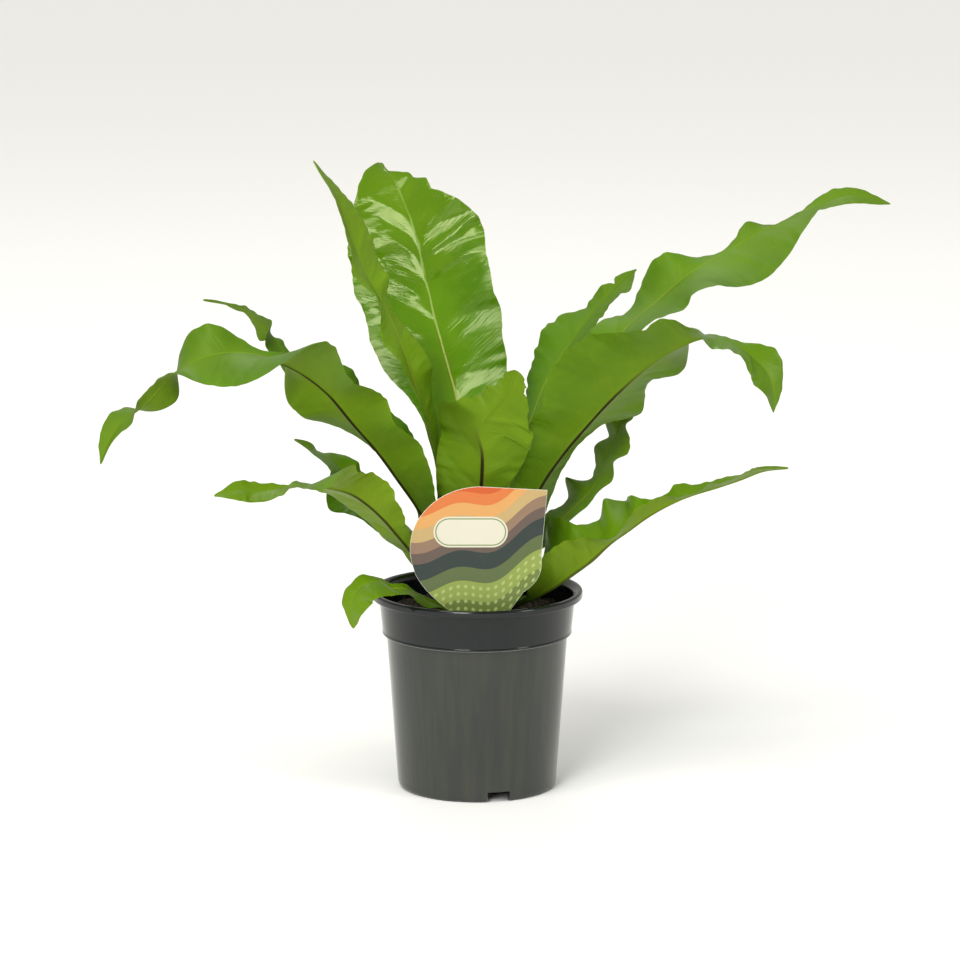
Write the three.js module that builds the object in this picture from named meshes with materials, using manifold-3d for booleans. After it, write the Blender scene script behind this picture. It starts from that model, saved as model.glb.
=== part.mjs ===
// A fern with undivided wavy fronds, in a round plastic grower's pot with its soil and a plant label.
// Millimetres, +Z up. The origin is the middle of the pot's base, on the surface that the pot stands on.

import * as THREE from "three";
import { mergeVertices } from "three/addons/utils/BufferGeometryUtils.js";
import Module from "manifold-3d";

const wasm = await Module();
wasm.setup();

// ---- Driving dimensions -------------------------------------------------------------------------

const clearance = 0.3; // between pieces that rest on each other

const pot = {
  height: 114,
  rimRadius: 60,
  rimBand: 4.2, // height of the outward lip
  collarRadius: 55.7, // outside, just under the rim
  stepHeight: 89.7, // where the stacking step runs round
  stepRadius: 53.6, // outside, just over the step
  stepWidth: 2.1,
  footRadius: 45, // outside, at the base
  footFillet: 4,
  footHeight: 6.5, // the floor's underside is this far up
  wall: 1.4,
  footInset: 1.2, // from the fillet's end to the inside of the foot
  centreFootRadius: 12,
  centreFootSlope: 2, // how much wider the centre foot is at the floor
  notchWidth: 13,
  notchHeight: 6.1,
  notchDepth: 14,
  notchCount: 3,
  notchAzimuth: -74, // of the notch that faces front
  drainCount: 6,
  drainRadius: 4,
  drainCircle: 28,
  drainSegments: 16,
  drainDepth: 8, // length of the holes' cutter, through the floor
  edge: 0.8, // size of the small slopes and chamfers of the rim, the step and the wall's ends
  rimInset: 2.6, // from the outside of the rim to its inside
  floorBevel: 1, // inside, between wall and floor
  segments: 48,
};

const soil = {
  level: 100, // top at the pot's wall
  mound: 2.5, // how much the middle stands over the edge
  lump: 0.9, // height of the unevenness
  lumpTurns: [0.31, 0.27, 0.13, 0.57], // radians per millimetre of the waves that make it up
  wallGap: 0.4, // between the pot's wall and the soil's side
  rings: [0.87, 0.7, 0.53, 0.36, 0.18, 0], // where its top is divided, as shares of the radius
};

const crown = {
  radius: 15.5,
  root: 84, // lowest point, in the soil
  top: 112,
  // From the root to the top: share of the radius, height.
  profile: [[0, 84], [0.4, 84], [0.8, 91], [1, 96], [1, 101], [0.86, 105], [0.55, 110], [0.2, 112], [0, 112]],
  segments: 18,
};

const stalk = { thickness: 2.6 };

const blade = {
  margin: 0.9, // thickness at the wavy edge
  ribAtTip: 1.4, // thickness over the midrib near the tip
  ribTaper: 0.67, // share of the length over which the midrib grows thinner
  ribWidth: 5, // how far the midrib's thickening reaches to each side
  leastHalfWidth: 0.8,
  sag: 0.002, // how much a half curves down, per millimetre of its width squared
  rows: 42, // steps along the frond
  cells: 2, // steps from midrib to edge
  slopeStep: 0.002, // share of the length over which its slope is taken
};

const label = {
  thickness: 0.8,
  offset: -45, // its plane's distance from the axis, towards the front
  bottom: 62, // tip of the stake, in the soil
};

// Each frond: where it heads, the points of its midrib, the half widths left and right of the midrib,
// and how many degrees each half leans up from the level across the midrib. The leans change from step
// to step, which gives the blade its twist, its fold and the waves of its edges.
// The lists run from the crown to the tip in even steps.
const fronds = {
  frond_back_tall: {
    heading: 98,
    spine: [
      [-0.9, 4.4, 104], [-1.2, 8.3, 122.9], [-1.6, 12.2, 141.8], [-3.1, 16.6, 160.6],
      [-6, 21.7, 179], [-7.9, 27.6, 197.2], [-11.3, 34.2, 215.1], [-15.8, 40.6, 232.8],
      [-21, 46.9, 250.2], [-25.7, 53.6, 267.8], [-29.8, 59.9, 285.5], [-34, 65.5, 303.5],
      [-39.8, 72.4, 320.6], [-47.2, 82.2, 335.4], [-55.9, 97, 344.2],
    ],
    left: [
      1.6, 3, 4.5, 6, 7.5, 12, 15.5, 15, 15, 16.5, 18, 19.5, 21.5, 24, 27.5, 32, 35.5, 37.5, 39,
      38.5, 39, 41.5, 41.5, 40.5, 40.5, 38.5, 35, 31, 24, 15.5, 4,
    ],
    right: [
      1.6, 3, 4.5, 6, 3, 2, 2.5, 5, 8, 10.5, 14.5, 19, 24, 28, 32, 34.5, 35.5, 37.5, 38.5, 38, 38.5,
      38.5, 38.5, 38.5, 37, 31, 21.5, 15.5, 8, 1.5, 2,
    ],
    leftLean: [
      11, 12, 14, 18, 21, 11, 12, 13, 14, 10, 6, 5, 5, 4, 3, -1, -3, -3, -4, -5, -6, -7, -9, -11,
      -8, -10, -11, -8, -6, 6, 36,
    ],
    rightLean: [
      12, 12, 12, 13, 15, 17, 17, 18, 19, 22, 23, 23, 23, 23, 23, 26, 29, 27, 27, 33, 32, 32, 31,
      22, 24, 31, 38, 30, 24, 26, 29,
    ],
  },
  frond_left_narrow: {
    heading: 182,
    spine: [
      [-4.3, 1.2, 104], [-7.9, 0.7, 123.3], [-11.6, 0.3, 142.7], [-15.4, -0.3, 161.9],
      [-19.9, -1.2, 181.1], [-24.7, -2.5, 200.1], [-30.2, -4.2, 218.8], [-36.6, -6.1, 237.4],
      [-42.6, -8.2, 256], [-49.6, -10.3, 274.2], [-59.2, -12.5, 291.3], [-66.9, -14.6, 309.2],
      [-73.9, -16.4, 327.5], [-80.8, -18.2, 345.9], [-91.1, -20, 362.5],
    ],
    left: [
      1.6, 3.5, 4.5, 6, 8, 8, 8, 8.5, 8.5, 9, 10.5, 9.5, 10.5, 12, 13.5, 14.5, 15, 16, 16, 15, 13.5,
      12.5, 12.5, 12, 9.5, 8, 6.5, 5, 4, 3, 1,
    ],
    right: [
      1.6, 3.5, 4.5, 6, 7.5, 8.5, 9, 10, 11, 12, 12.5, 13, 14, 15, 16.5, 16.5, 15, 13, 10.5, 9, 10,
      13.5, 15, 16, 16, 15, 13, 10, 6.5, 3, 1,
    ],
    leftLean: [
      0, -2, -3, -3, -1, -2, -14, -13, -13, -11, -4, 0, 1, -1, -2, -4, -7, -15, -29, -26, -10, 0,
      -18, -27, -15, -10, -5, -6, -10, -17, -17,
    ],
    rightLean: [
      20, 23, 25, 25, 21, 13, 11, 12, 12, 11, 15, 21, 25, 26, 35, 51, 47, 42, 30, 20, 23, 49, 38,
      38, 43, 41, 39, 32, 23, 15, 20,
    ],
  },
  frond_left_arching: {
    heading: 198,
    spine: [
      [-7.5, -2.7, 102], [-14.5, -7.6, 123.4], [-22.1, -12.7, 144.6], [-32.7, -18.5, 164.2],
      [-44.5, -25.2, 182.8], [-56.8, -31.7, 201.2], [-70.6, -37.9, 218.6], [-84.3, -43.3, 236.3],
      [-102, -48.5, 249.9], [-122.2, -54.7, 258.8], [-144.5, -60.2, 260], [-165.3, -64, 251.7],
      [-181.2, -67.1, 235.5], [-198.4, -69.4, 220.5], [-208.3, -72, 200.2],
    ],
    left: [
      1.6, 3.5, 5, 6, 6, 8.5, 12.5, 17, 21.5, 24.5, 26, 27, 26.5, 27, 28, 29.5, 34.5, 44.5, 47.5,
      42.5, 37, 31, 25, 19, 14.5, 8.5, 8, 10.5, 7.5, 3.5, 1,
    ],
    right: [
      1.6, 3.5, 5, 7, 11, 12, 7.5, 4, 3.5, 8, 12.5, 16.5, 20, 23, 23.5, 22.5, 21, 21, 8.5, 5, 10,
      17, 20, 18.5, 18, 15.5, 12, 12, 9.5, 6, 1,
    ],
    leftLean: [
      27, 28, 28, 25, 20, 25, 30, 35, 41, 46, 51, 42, 39, 55, 45, 28, 32, 35, 29, 8, -10, -22, -27,
      -18, 26, 48, 50, -1, -3, 6, 4,
    ],
    rightLean: [
      7, 4, 0, -9, -20, -19, -5, -5, -2, 10, 4, -3, -11, -24, -45, -54, -54, 1, 36, 34, 42, 58, 45,
      11, -34, -64, -47, 13, 39, 46, 53,
    ],
  },
  frond_left_rear: {
    heading: 163,
    spine: [
      [-7.1, 3.8, 102], [-10.3, 6.3, 121.9], [-17.3, 10.1, 140.5], [-28, 15.1, 157],
      [-39.7, 20.2, 172.8], [-51.7, 25.5, 188.3], [-64.1, 30.9, 203.5], [-79.6, 36.6, 214.9],
      [-94.7, 41.6, 227.7], [-109.2, 46.6, 240.9], [-121.6, 52, 256], [-137.9, 57.3, 266.5],
      [-157.4, 62, 270],
    ],
    left: [
      1.6, 3, 4.5, 6, 6, 6, 6, 6.5, 7, 7, 7.5, 8, 8.5, 8.5, 9, 11, 12.5, 15, 19.5, 17, 13.5, 9, 9.5,
      14.5, 12.5, 9.5, 5, 3.5, 1,
    ],
    right: [
      1.6, 3, 4.5, 6, 7.5, 8.5, 9, 9.5, 12, 15.5, 18.5, 20, 21, 20.5, 20, 20, 21, 22, 19.5, 15, 8.5,
      4, 6.5, 13.5, 10, 6.5, 6, 4.5, 1,
    ],
    leftLean: [
      0, 0, 0, 0, 2, 6, 12, 10, -18, -11, -7, -5, -7, -9, -11, -11, -11, -10, -10, -11, -14, -19,
      -24, 39, 33, 37, 21, 27, 37,
    ],
    rightLean: [
      20, 21, 23, 24, 25, 24, 20, 14, 23, 33, 37, 40, 42, 39, 30, 23, 29, 45, 47, 44, 37, 22, 11,
      -52, -44, -25, -30, -3, 20,
    ],
  },
  frond_left_low: {
    heading: 208,
    spine: [
      [-10.5, -5, 100], [-16, -11.5, 111.1], [-21.7, -17.9, 122.2], [-29, -23.3, 132.8],
      [-37.7, -27.8, 142.8], [-45.4, -32.9, 153.2], [-53.2, -38.4, 163.4], [-62, -44.3, 172.6],
      [-71.9, -50.6, 180.2], [-83.2, -57.4, 184.4], [-94.7, -64.8, 187.3], [-107.1, -71.1, 186.7],
      [-119.9, -76.4, 185.9], [-132.6, -82.1, 187.9], [-145, -88, 185.8],
    ],
    left: [
      1.6, 3, 4.5, 6, 7.5, 12, 12, 8.5, 9, 12.5, 15.5, 19.5, 20.5, 23.5, 28.5, 34, 24, 12.5, 9.5,
      10, 10, 7, 1,
    ],
    right: [
      1.6, 3, 4.5, 6, 7.5, 12, 14, 15, 15.5, 17.5, 22.5, 28, 33.5, 38, 36, 22, 8, 3.5, 5, 6, 7, 3,
      1,
    ],
    leftLean: [
      27, 29, 30, 30, 36, 43, 39, 35, 36, 44, 40, 50, 50, 39, 33, 34, 6, 15, -9, -23, -30, -30, -16,
    ],
    rightLean: [
      8, 2, -7, -21, -21, -13, -3, -13, -14, -13, -10, -6, -5, -5, -4, -5, 5, 23, 41, 45, 49, 43,
      38,
    ],
  },
  frond_left_short: {
    heading: 170,
    spine: [
      [-11.5, 0.4, 100], [-14.5, 3.8, 113.4], [-19.2, 7.2, 126.3], [-28.4, 10.6, 136.5],
      [-39.2, 13.9, 145], [-50.5, 17, 153.1], [-61.5, 19.7, 161.7], [-71.8, 22.1, 171],
      [-80.8, 24, 181.8], [-92.7, 22, 189.2], [-104.2, 24, 196],
    ],
    left: [1.6, 3, 4.5, 6, 7.5, 11.5, 16, 20.5, 25, 25.5, 25, 24.5, 19, 12.5, 8, 4, 1],
    right: [1.6, 3, 4.5, 6, 7.5, 10.5, 11, 11.5, 11, 10.5, 10.5, 10, 12, 10.5, 7, 5.5, 1],
    leftLean: [2, -7, -20, -30, -23, -18, -15, -11, -8, -8, -17, -33, -14, -8, -2, 6, 13],
    rightLean: [24, 21, 13, -3, -7, -5, -10, -6, 12, 24, 33, 35, 42, 13, -6, 21, 24],
  },
  frond_over_rim: {
    heading: 218,
    spine: [
      [-4.5, -11, 100], [-12.7, -14.9, 103.8], [-20.8, -18.8, 107.6], [-28.5, -23.2, 111.7],
      [-34.7, -28.8, 116.8], [-40.9, -34.5, 121.5], [-48.4, -40.5, 123.1], [-53.9, -46.9, 128.1],
      [-61.6, -52.6, 128.6], [-68.6, -56, 123.2], [-69.9, -57.4, 113.7], [-69, -58, 104],
    ],
    left: [1.6, 3, 4.5, 5.5, 6.5, 6.5, 5.5, 8, 11.5, 15.5, 18.5, 18.5, 14.5, 8, 1],
    right: [1.6, 3, 4.5, 4.5, 4.5, 3.5, 4, 3.5, 5, 5.5, 7.5, 6.5, 6.5, 4, 1],
    leftLean: [-31, -22, -11, -9, -29, -37, -27, -14, -7, -17, -11, 1, -8, -2, -13],
    rightLean: [52, 50, 45, 39, 40, 37, 50, 47, 40, 24, 31, 21, 23, 21, 28],
  },
  frond_front_upright: {
    heading: 275,
    spine: [
      [0.4, -4.5, 104], [0.7, -9.1, 117.6], [1, -13.7, 131.3], [1.3, -18.3, 144.9],
      [1.6, -22.9, 158.6], [1.9, -27.5, 172.2], [2.8, -31.1, 185.3], [2.9, -34, 199.3],
      [0.8, -37.7, 213], [7.9, -42.2, 224.4], [16.3, -45.5, 235.5], [22.3, -47, 248.5],
    ],
    left: [1.6, 3, 4.5, 6, 7.5, 12, 11.5, 12.5, 13, 15, 19.5, 24.5, 29, 30, 30.5, 26, 16.5, 9.5, 5],
    right: [
      1.6, 3, 4.5, 6, 7.5, 15.5, 22.5, 24.5, 26.5, 28.5, 31, 34, 35, 32, 19, 12, 10, 7.5, 4.5,
    ],
    leftLean: [6, 5, 4, 4, 4, 4, 5, 3, 4, 5, 4, 4, -1, -6, -9, -6, -5, -6, -7],
    rightLean: [22, 23, 23, 24, 24, 25, 26, 27, 30, 35, 42, 52, 58, 54, 18, 34, 35, 41, 65],
  },
  frond_right_arching: {
    heading: -20,
    spine: [
      [6.6, -4.6, 102], [13.4, -5.1, 121.1], [21, -5.9, 139.9], [28.4, -8.1, 158.7],
      [36.6, -11.8, 176.9], [46.9, -17.1, 193.6], [58.4, -23.6, 209], [70, -31.2, 223.9],
      [81.7, -40.3, 237.6], [94.8, -48.5, 250.8], [110.7, -53.2, 262.4], [129.3, -57.3, 269.1],
      [147.4, -60.7, 262], [161.4, -63.1, 247.8], [164.1, -64, 227.8],
    ],
    left: [
      1.6, 2.5, 3.5, 4.5, 6.5, 11, 16, 16.5, 16, 15, 15, 16, 18.5, 22, 27.5, 30.5, 27, 19.5, 16, 21,
      28.5, 35.5, 28, 17.5, 10, 7, 10, 13, 9.5, 5.5, 1,
    ],
    right: [
      1.6, 2.5, 3.5, 4.5, 6.5, 11, 11.5, 14, 17, 20, 22.5, 25.5, 30.5, 34, 37, 40, 42, 42.5, 42, 40,
      34.5, 29.5, 27, 23, 20, 17.5, 16, 15.5, 13, 7, 1,
    ],
    leftLean: [
      6, 3, 0, -4, -9, -15, -19, -17, -15, -10, -8, -3, -4, -7, -17, -25, -19, -20, -21, -27, -22,
      -2, 16, 1, 1, 7, 29, 50, 41, 39, 41,
    ],
    rightLean: [
      26, 30, 33, 35, 35, 31, 27, 34, 39, 43, 41, 40, 51, 45, 41, 48, 55, 58, 57, 56, 46, 39, 46,
      24, -3, 7, 5, -11, -22, -9, -12,
    ],
  },
  frond_right_long: {
    heading: 16,
    spine: [
      [9, 2.8, 102], [13.8, 2.2, 127.3], [19.8, 2, 152.4], [28.5, 2.6, 176.7], [40.3, 5.1, 199.5],
      [54.5, 9.5, 220.6], [69.5, 14.5, 241], [84.8, 19.7, 261.1], [102.6, 27.7, 275.4],
      [122.1, 35.6, 290.3], [143.5, 44.5, 301.5], [165.3, 52.4, 312.6], [188.7, 58, 321.6],
      [212.2, 63, 330.3], [236.9, 67, 324.6],
    ],
    left: [
      1.6, 3, 4.5, 6, 8, 8, 8, 9, 10, 10.5, 11.5, 12.5, 13.5, 17.5, 21.5, 22.5, 22, 22.5, 22.5, 19,
      9.5, 3.5, 5.5, 10, 6.5, 5, 6, 7, 6, 4.5, 1,
    ],
    right: [
      1.6, 3, 4.5, 6, 8, 8, 8, 9, 10, 10.5, 11.5, 12.5, 13.5, 17.5, 26.5, 36, 38.5, 40.5, 41.5,
      40.5, 37.5, 36, 34, 30.5, 26, 20, 14.5, 11.5, 9.5, 6, 1,
    ],
    leftLean: [
      18, 19, 19, 18, 15, 11, 14, 26, 24, 20, 20, 22, 24, 26, 28, 14, 0, 10, 34, 52, 26, 11, 29, 46,
      -9, -5, 19, 38, 40, 39, 39,
    ],
    rightLean: [
      17, 17, 18, 21, 29, 35, 5, -2, 8, 8, 9, 6, 3, 3, 3, 12, 9, 4, 9, 2, -12, -20, -24, -23, -20,
      -7, 8, -6, -21, -28, -27,
    ],
  },
  frond_right_rear: {
    heading: 52,
    spine: [
      [4.2, 3.8, 104], [7.7, 10.8, 125.5], [12.1, 18.5, 146.6], [18.2, 27.8, 166.6],
      [25, 37.6, 186.1], [32, 47.7, 205.4], [40.1, 58.2, 223.9], [51.1, 71, 239.3],
      [63.2, 84.7, 253], [77.1, 95.6, 267.4], [92.7, 106, 280.6],
    ],
    left: [
      1.6, 2.5, 3.5, 4.5, 5.5, 9.5, 14, 13.5, 10.5, 6.5, 3.5, 6, 9.5, 12.5, 15, 16.5, 18, 19, 19.5,
      20, 18, 14.5, 10, 10, 7, 4.5, 1,
    ],
    right: [
      1.6, 2.5, 3.5, 4.5, 5.5, 9.5, 14, 18, 22.5, 26.5, 29, 31, 32.5, 33, 33, 32, 30, 27, 23.5, 20,
      19.5, 19.5, 19, 18, 15.5, 8.5, 1,
    ],
    leftLean: [
      6, 5, 4, 4, 3, 3, 3, 0, -11, -35, -49, -50, -41, -35, -28, -19, -9, -4, 5, 20, 16, 11, -6, 1,
      24, 25, 27,
    ],
    rightLean: [
      22, 23, 24, 25, 26, 27, 28, 28, 26, 24, 26, 28, 28, 28, 26, 24, 23, 21, 23, 30, 30, 31, 33,
      30, 19, 19, 39,
    ],
  },
  frond_right_ruffled: {
    heading: 26,
    spine: [
      [9.8, 6.4, 100], [14.9, 7.4, 111.9], [20.4, 8.7, 123.6], [28.2, 11.7, 133.5],
      [37.5, 15.9, 141.6], [47.2, 20.3, 149], [56.5, 24.4, 157.1], [65.5, 28.1, 165.7],
      [71.4, 32.3, 176.5], [76.7, 36.3, 187.7], [81.7, 39.4, 199.3], [87.8, 42, 210.4],
    ],
    left: [1.6, 3, 4.5, 6, 7, 6, 8, 11.5, 18, 22.5, 21.5, 16.5, 16.5, 20.5, 20, 17, 10.5],
    right: [1.6, 3, 4.5, 6, 7.5, 12, 13, 11, 9, 9, 12, 17.5, 23, 24, 19.5, 11.5, 1.5],
    leftLean: [19, 21, 20, 14, 2, -2, 16, 22, -1, -8, 24, -13, -11, 0, -14, 24, 63],
    rightLean: [18, 16, 14, 11, 7, 0, 5, 7, 3, -4, 11, 5, 21, 8, 8, 18, -42],
  },
  frond_right_low: {
    heading: -14,
    spine: [
      [11.3, -2, 100], [21.4, -9.6, 106.3], [32.3, -16.1, 112.5], [43.7, -20.2, 119.8],
      [54.4, -24.2, 128.1], [64.7, -28.5, 136.9], [74, -32.2, 146.7], [84.9, -34.6, 155.3],
      [95.9, -36.9, 163.9], [107.8, -39.1, 171.2], [120.5, -41.1, 177], [133.8, -42.8, 181.5],
      [147, -44.3, 186.3], [159.8, -45.7, 191.5], [173.8, -47, 193.4],
    ],
    left: [
      1.6, 3, 4.5, 6, 19, 33.5, 39.5, 33.5, 25, 26, 35, 33, 22, 11, 9, 11, 7, 7, 6.5, 5, 4.5, 2.5,
      1,
    ],
    right: [
      1.6, 3, 4.5, 6, 17.5, 21.5, 23.5, 23, 20.5, 16.5, 11.5, 10.5, 11, 10.5, 8.5, 7.5, 7.5, 10, 11,
      11, 9.5, 5.5, 1,
    ],
    leftLean: [
      42, 42, 39, 29, 42, 52, 58, 62, 56, 35, 41, 28, 42, 41, 38, 49, 35, 33, 30, 25, 36, 35, 37,
    ],
    rightLean: [
      24, 26, 28, 32, 45, 50, 54, 58, 60, 50, 15, 18, 36, 48, 45, 18, 10, 20, 17, 20, 22, 16, 26,
    ],
  },
  frond_back_low: {
    heading: 80,
    spine: [
      [3, 11.1, 100], [8, 30, 148], [13, 58, 184], [20, 92, 200], [25, 126, 190], [28, 150, 166],
    ],
    left: [
      1.6, 3.5, 5, 6.5, 9, 11, 12.5, 14, 16, 18, 20, 22, 21.5, 20.5, 19, 17, 14.5, 12, 9, 5.5, 1,
    ],
    right: [
      1.6, 3.5, 5, 6.5, 9, 11, 12.5, 14, 16, 18, 20, 22, 23.5, 21.5, 20, 18, 15, 12, 8, 4.5, 1,
    ],
    leftLean: [16, 17, 18, 19, 20, 28, 21, 7, 20, 32, 16, 2, 12, 24, 11, -3, 12, 31, 14, 7, 16],
    rightLean: [16, 15, 14, 13, 15, 8, 1, 17, 26, 8, 4, 23, 30, 16, 9, 27, 35, 11, 3, 20, 16],
  },
  frond_back_leaning: {
    heading: 112,
    spine: [
      [-2.6, 8.1, 102], [-12, 28, 156], [-21, 53, 205], [-31, 84, 243], [-42, 116, 262],
      [-50, 146, 258], [-55, 168, 240],
    ],
    left: [
      1.6, 4, 6, 8.5, 9.5, 10, 10.5, 12, 14.5, 17.5, 20, 21, 22, 23, 23, 21, 19, 16, 11.5, 6.5, 1,
    ],
    right: [
      1.6, 4, 6, 8.5, 9.5, 10, 10.5, 12, 14.5, 17.5, 20, 21, 22, 23, 23.5, 22, 19.5, 15.5, 10.5, 6,
      1,
    ],
    leftLean: [16, 15, 14, 13, 15, 15, 2, 3, 26, 22, 5, 11, 30, 27, 11, 14, 32, 28, 2, 12, 16],
    rightLean: [16, 17, 18, 19, 21, 14, 20, 36, 22, 4, 14, 26, 14, 0, 9, 23, 14, -2, 11, 23, 16],
  },
};

// ---- Solids and booleans ------------------------------------------------------------------------

function solidFrom(geometry) {
  const bare = geometry.clone();
  bare.deleteAttribute("normal");
  bare.deleteAttribute("uv");
  const merged = mergeVertices(bare, 1e-4);
  return new wasm.Manifold(
    new wasm.Mesh({
      numProp: 3,
      vertProperties: new Float32Array(merged.attributes.position.array),
      triVerts: new Uint32Array(merged.index.array),
    }),
  );
}

function geometryFrom(solid) {
  const mesh = solid.getMesh();
  const geometry = new THREE.BufferGeometry();
  geometry.setAttribute("position", new THREE.BufferAttribute(mesh.vertProperties, 3));
  geometry.setIndex(new THREE.BufferAttribute(mesh.triVerts, 1));
  return geometry;
}

function largestBody(solid) {
  const bodies = solid.decompose();
  return bodies.reduce((best, body) => (body.volume() > best.volume() ? body : best));
}

function lathe(profile, segments) {
  const points = profile.map(([radius, height]) => new THREE.Vector2(radius, height));
  const geometry = new THREE.LatheGeometry(points, segments);
  geometry.rotateX(Math.PI / 2);
  return geometry;
}

// ---- Interpolation ------------------------------------------------------------------------------

// Catmull-Rom value of a list of numbers at t from 0 to 1; the ends are extended in a straight line.
function along(list, t) {
  const last = list.length - 1;
  const place = Math.min(Math.max(t * last, 0), last - 1e-9);
  const i = Math.floor(place);
  const f = place - i;
  const p1 = list[i];
  const p2 = list[i + 1];
  const p0 = i > 0 ? list[i - 1] : 2 * p1 - p2;
  const p3 = i + 2 <= last ? list[i + 2] : 2 * p2 - p1;
  const cubic = 3 * p1 - p0 - 3 * p2 + p3;
  const square = 2 * p0 - 5 * p1 + 4 * p2 - p3;
  return 0.5 * (2 * p1 + (p2 - p0) * f + square * f * f + cubic * f * f * f);
}

function pointAlong(points, t) {
  const axis = (k) => along(points.map((p) => p[k]), t);
  return new THREE.Vector3(axis(0), axis(1), axis(2));
}

// ---- Fronds -------------------------------------------------------------------------------------

// Midrib point and the directions along it, level across it (to the left) and up from it at t.
function bladeFrame(frond, t) {
  const point = pointAlong(frond.spine, t);
  const before = pointAlong(frond.spine, Math.max(t - blade.slopeStep, 0));
  const after = pointAlong(frond.spine, Math.min(t + blade.slopeStep, 1));
  const tangent = after.sub(before).normalize();
  const azimuth = THREE.MathUtils.degToRad(frond.heading);
  const across = new THREE.Vector3(-Math.sin(azimuth), Math.cos(azimuth), 0);
  across.addScaledVector(tangent, -across.dot(tangent)).normalize();
  const up = new THREE.Vector3().crossVectors(tangent, across);
  return { point, tangent, across, up };
}

// Way out to the edge and way the upper side faces, for the half of the blade on one side at t.
function halfFrame(frond, t, side, frame) {
  const lean = THREE.MathUtils.degToRad(along(side > 0 ? frond.leftLean : frond.rightLean, t));
  const out = frame.across.clone().multiplyScalar(side * Math.cos(lean));
  out.addScaledVector(frame.up, Math.sin(lean));
  const facing = frame.across.clone().multiplyScalar(-side * Math.sin(lean));
  facing.addScaledVector(frame.up, Math.cos(lean));
  return { out, facing };
}

function halfWidth(frond, t, side) {
  return Math.max(blade.leastHalfWidth, along(side > 0 ? frond.left : frond.right, t));
}

// Point on the blade's middle surface, s from -1 at the right edge to 1 at the left edge, and the way
// the upper side faces there.
function bladeSpot(frond, t, s, frame, extra) {
  const side = s < 0 ? -1 : 1;
  const reach = (halfWidth(frond, t, side) + extra) * Math.abs(s);
  const { out, facing } = halfFrame(frond, t, side, frame);
  if (s === 0) facing.add(halfFrame(frond, t, -1, frame).facing).normalize();
  const sag = blade.sag * reach * reach;
  const point = frame.point.clone().addScaledVector(out, reach).addScaledVector(facing, -sag);
  return { point, facing };
}

// Thickness of the blade at t: stout over the midrib, thin at the edge.
function bladeThickness(t, distance) {
  const slender = Math.min(1, t / blade.ribTaper);
  const rib = THREE.MathUtils.lerp(stalk.thickness, blade.ribAtTip, slender);
  const fade = Math.exp(-Math.pow(distance / blade.ribWidth, 2));
  return blade.margin + (rib - blade.margin) * fade;
}

// Closed blade from the crown to t = end. With extra it is the clearance space round the blade.
function bladeGeometry(frond, extra = 0, end = 1) {
  const rows = Math.max(4, Math.round(blade.rows * end));
  const columns = 2 * blade.cells + 1;
  const positions = [];
  const indices = [];
  const faceSize = (rows + 1) * columns;
  for (const sign of [1, -1]) {
    for (let i = 0; i <= rows; i++) {
      const t = (end * i) / rows;
      const frame = bladeFrame(frond, t);
      if (i === 0) frame.point.addScaledVector(frame.tangent, -extra);
      for (let j = 0; j < columns; j++) {
        const s = j / blade.cells - 1;
        const { point, facing } = bladeSpot(frond, t, s, frame, extra);
        const distance = Math.abs(s) * halfWidth(frond, t, s < 0 ? -1 : 1);
        const lift = sign * (bladeThickness(t, distance) / 2 + extra);
        point.addScaledVector(facing, lift);
        positions.push(point.x, point.y, point.z);
      }
    }
  }
  const at = (face, i, j) => face * faceSize + i * columns + j;
  const quad = (a, b, c, d) => indices.push(a, b, c, a, c, d);
  for (let i = 0; i < rows; i++) {
    for (let j = 0; j < columns - 1; j++) {
      // The same diagonal on both faces keeps them apart.
      indices.push(at(0, i, j), at(0, i + 1, j + 1), at(0, i, j + 1));
      indices.push(at(0, i, j), at(0, i + 1, j), at(0, i + 1, j + 1));
      indices.push(at(1, i, j), at(1, i, j + 1), at(1, i + 1, j + 1));
      indices.push(at(1, i, j), at(1, i + 1, j + 1), at(1, i + 1, j));
    }
    quad(at(0, i, 0), at(1, i, 0), at(1, i + 1, 0), at(0, i + 1, 0));
    const edge = columns - 1;
    quad(at(0, i, edge), at(0, i + 1, edge), at(1, i + 1, edge), at(1, i, edge));
  }
  for (let j = 0; j < columns - 1; j++) {
    quad(at(0, 0, j), at(0, 0, j + 1), at(1, 0, j + 1), at(1, 0, j));
    quad(at(0, rows, j), at(1, rows, j), at(1, rows, j + 1), at(0, rows, j + 1));
  }
  const geometry = new THREE.BufferGeometry();
  geometry.setAttribute("position", new THREE.Float32BufferAttribute(positions, 3));
  geometry.setIndex(indices);
  return geometry;
}

// ---- Pot ----------------------------------------------------------------------------------------

// Outside radius of the pot's wall at a height, below the rim.
function wallRadius(height) {
  const { footRadius, stepRadius, stepWidth, stepHeight, collarRadius } = pot;
  if (height < stepHeight) {
    return THREE.MathUtils.mapLinear(height, 0, stepHeight, footRadius, stepRadius - stepWidth);
  }
  const lipUnderside = pot.height - pot.rimBand;
  return THREE.MathUtils.mapLinear(height, stepHeight, lipUnderside, stepRadius, collarRadius);
}

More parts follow.
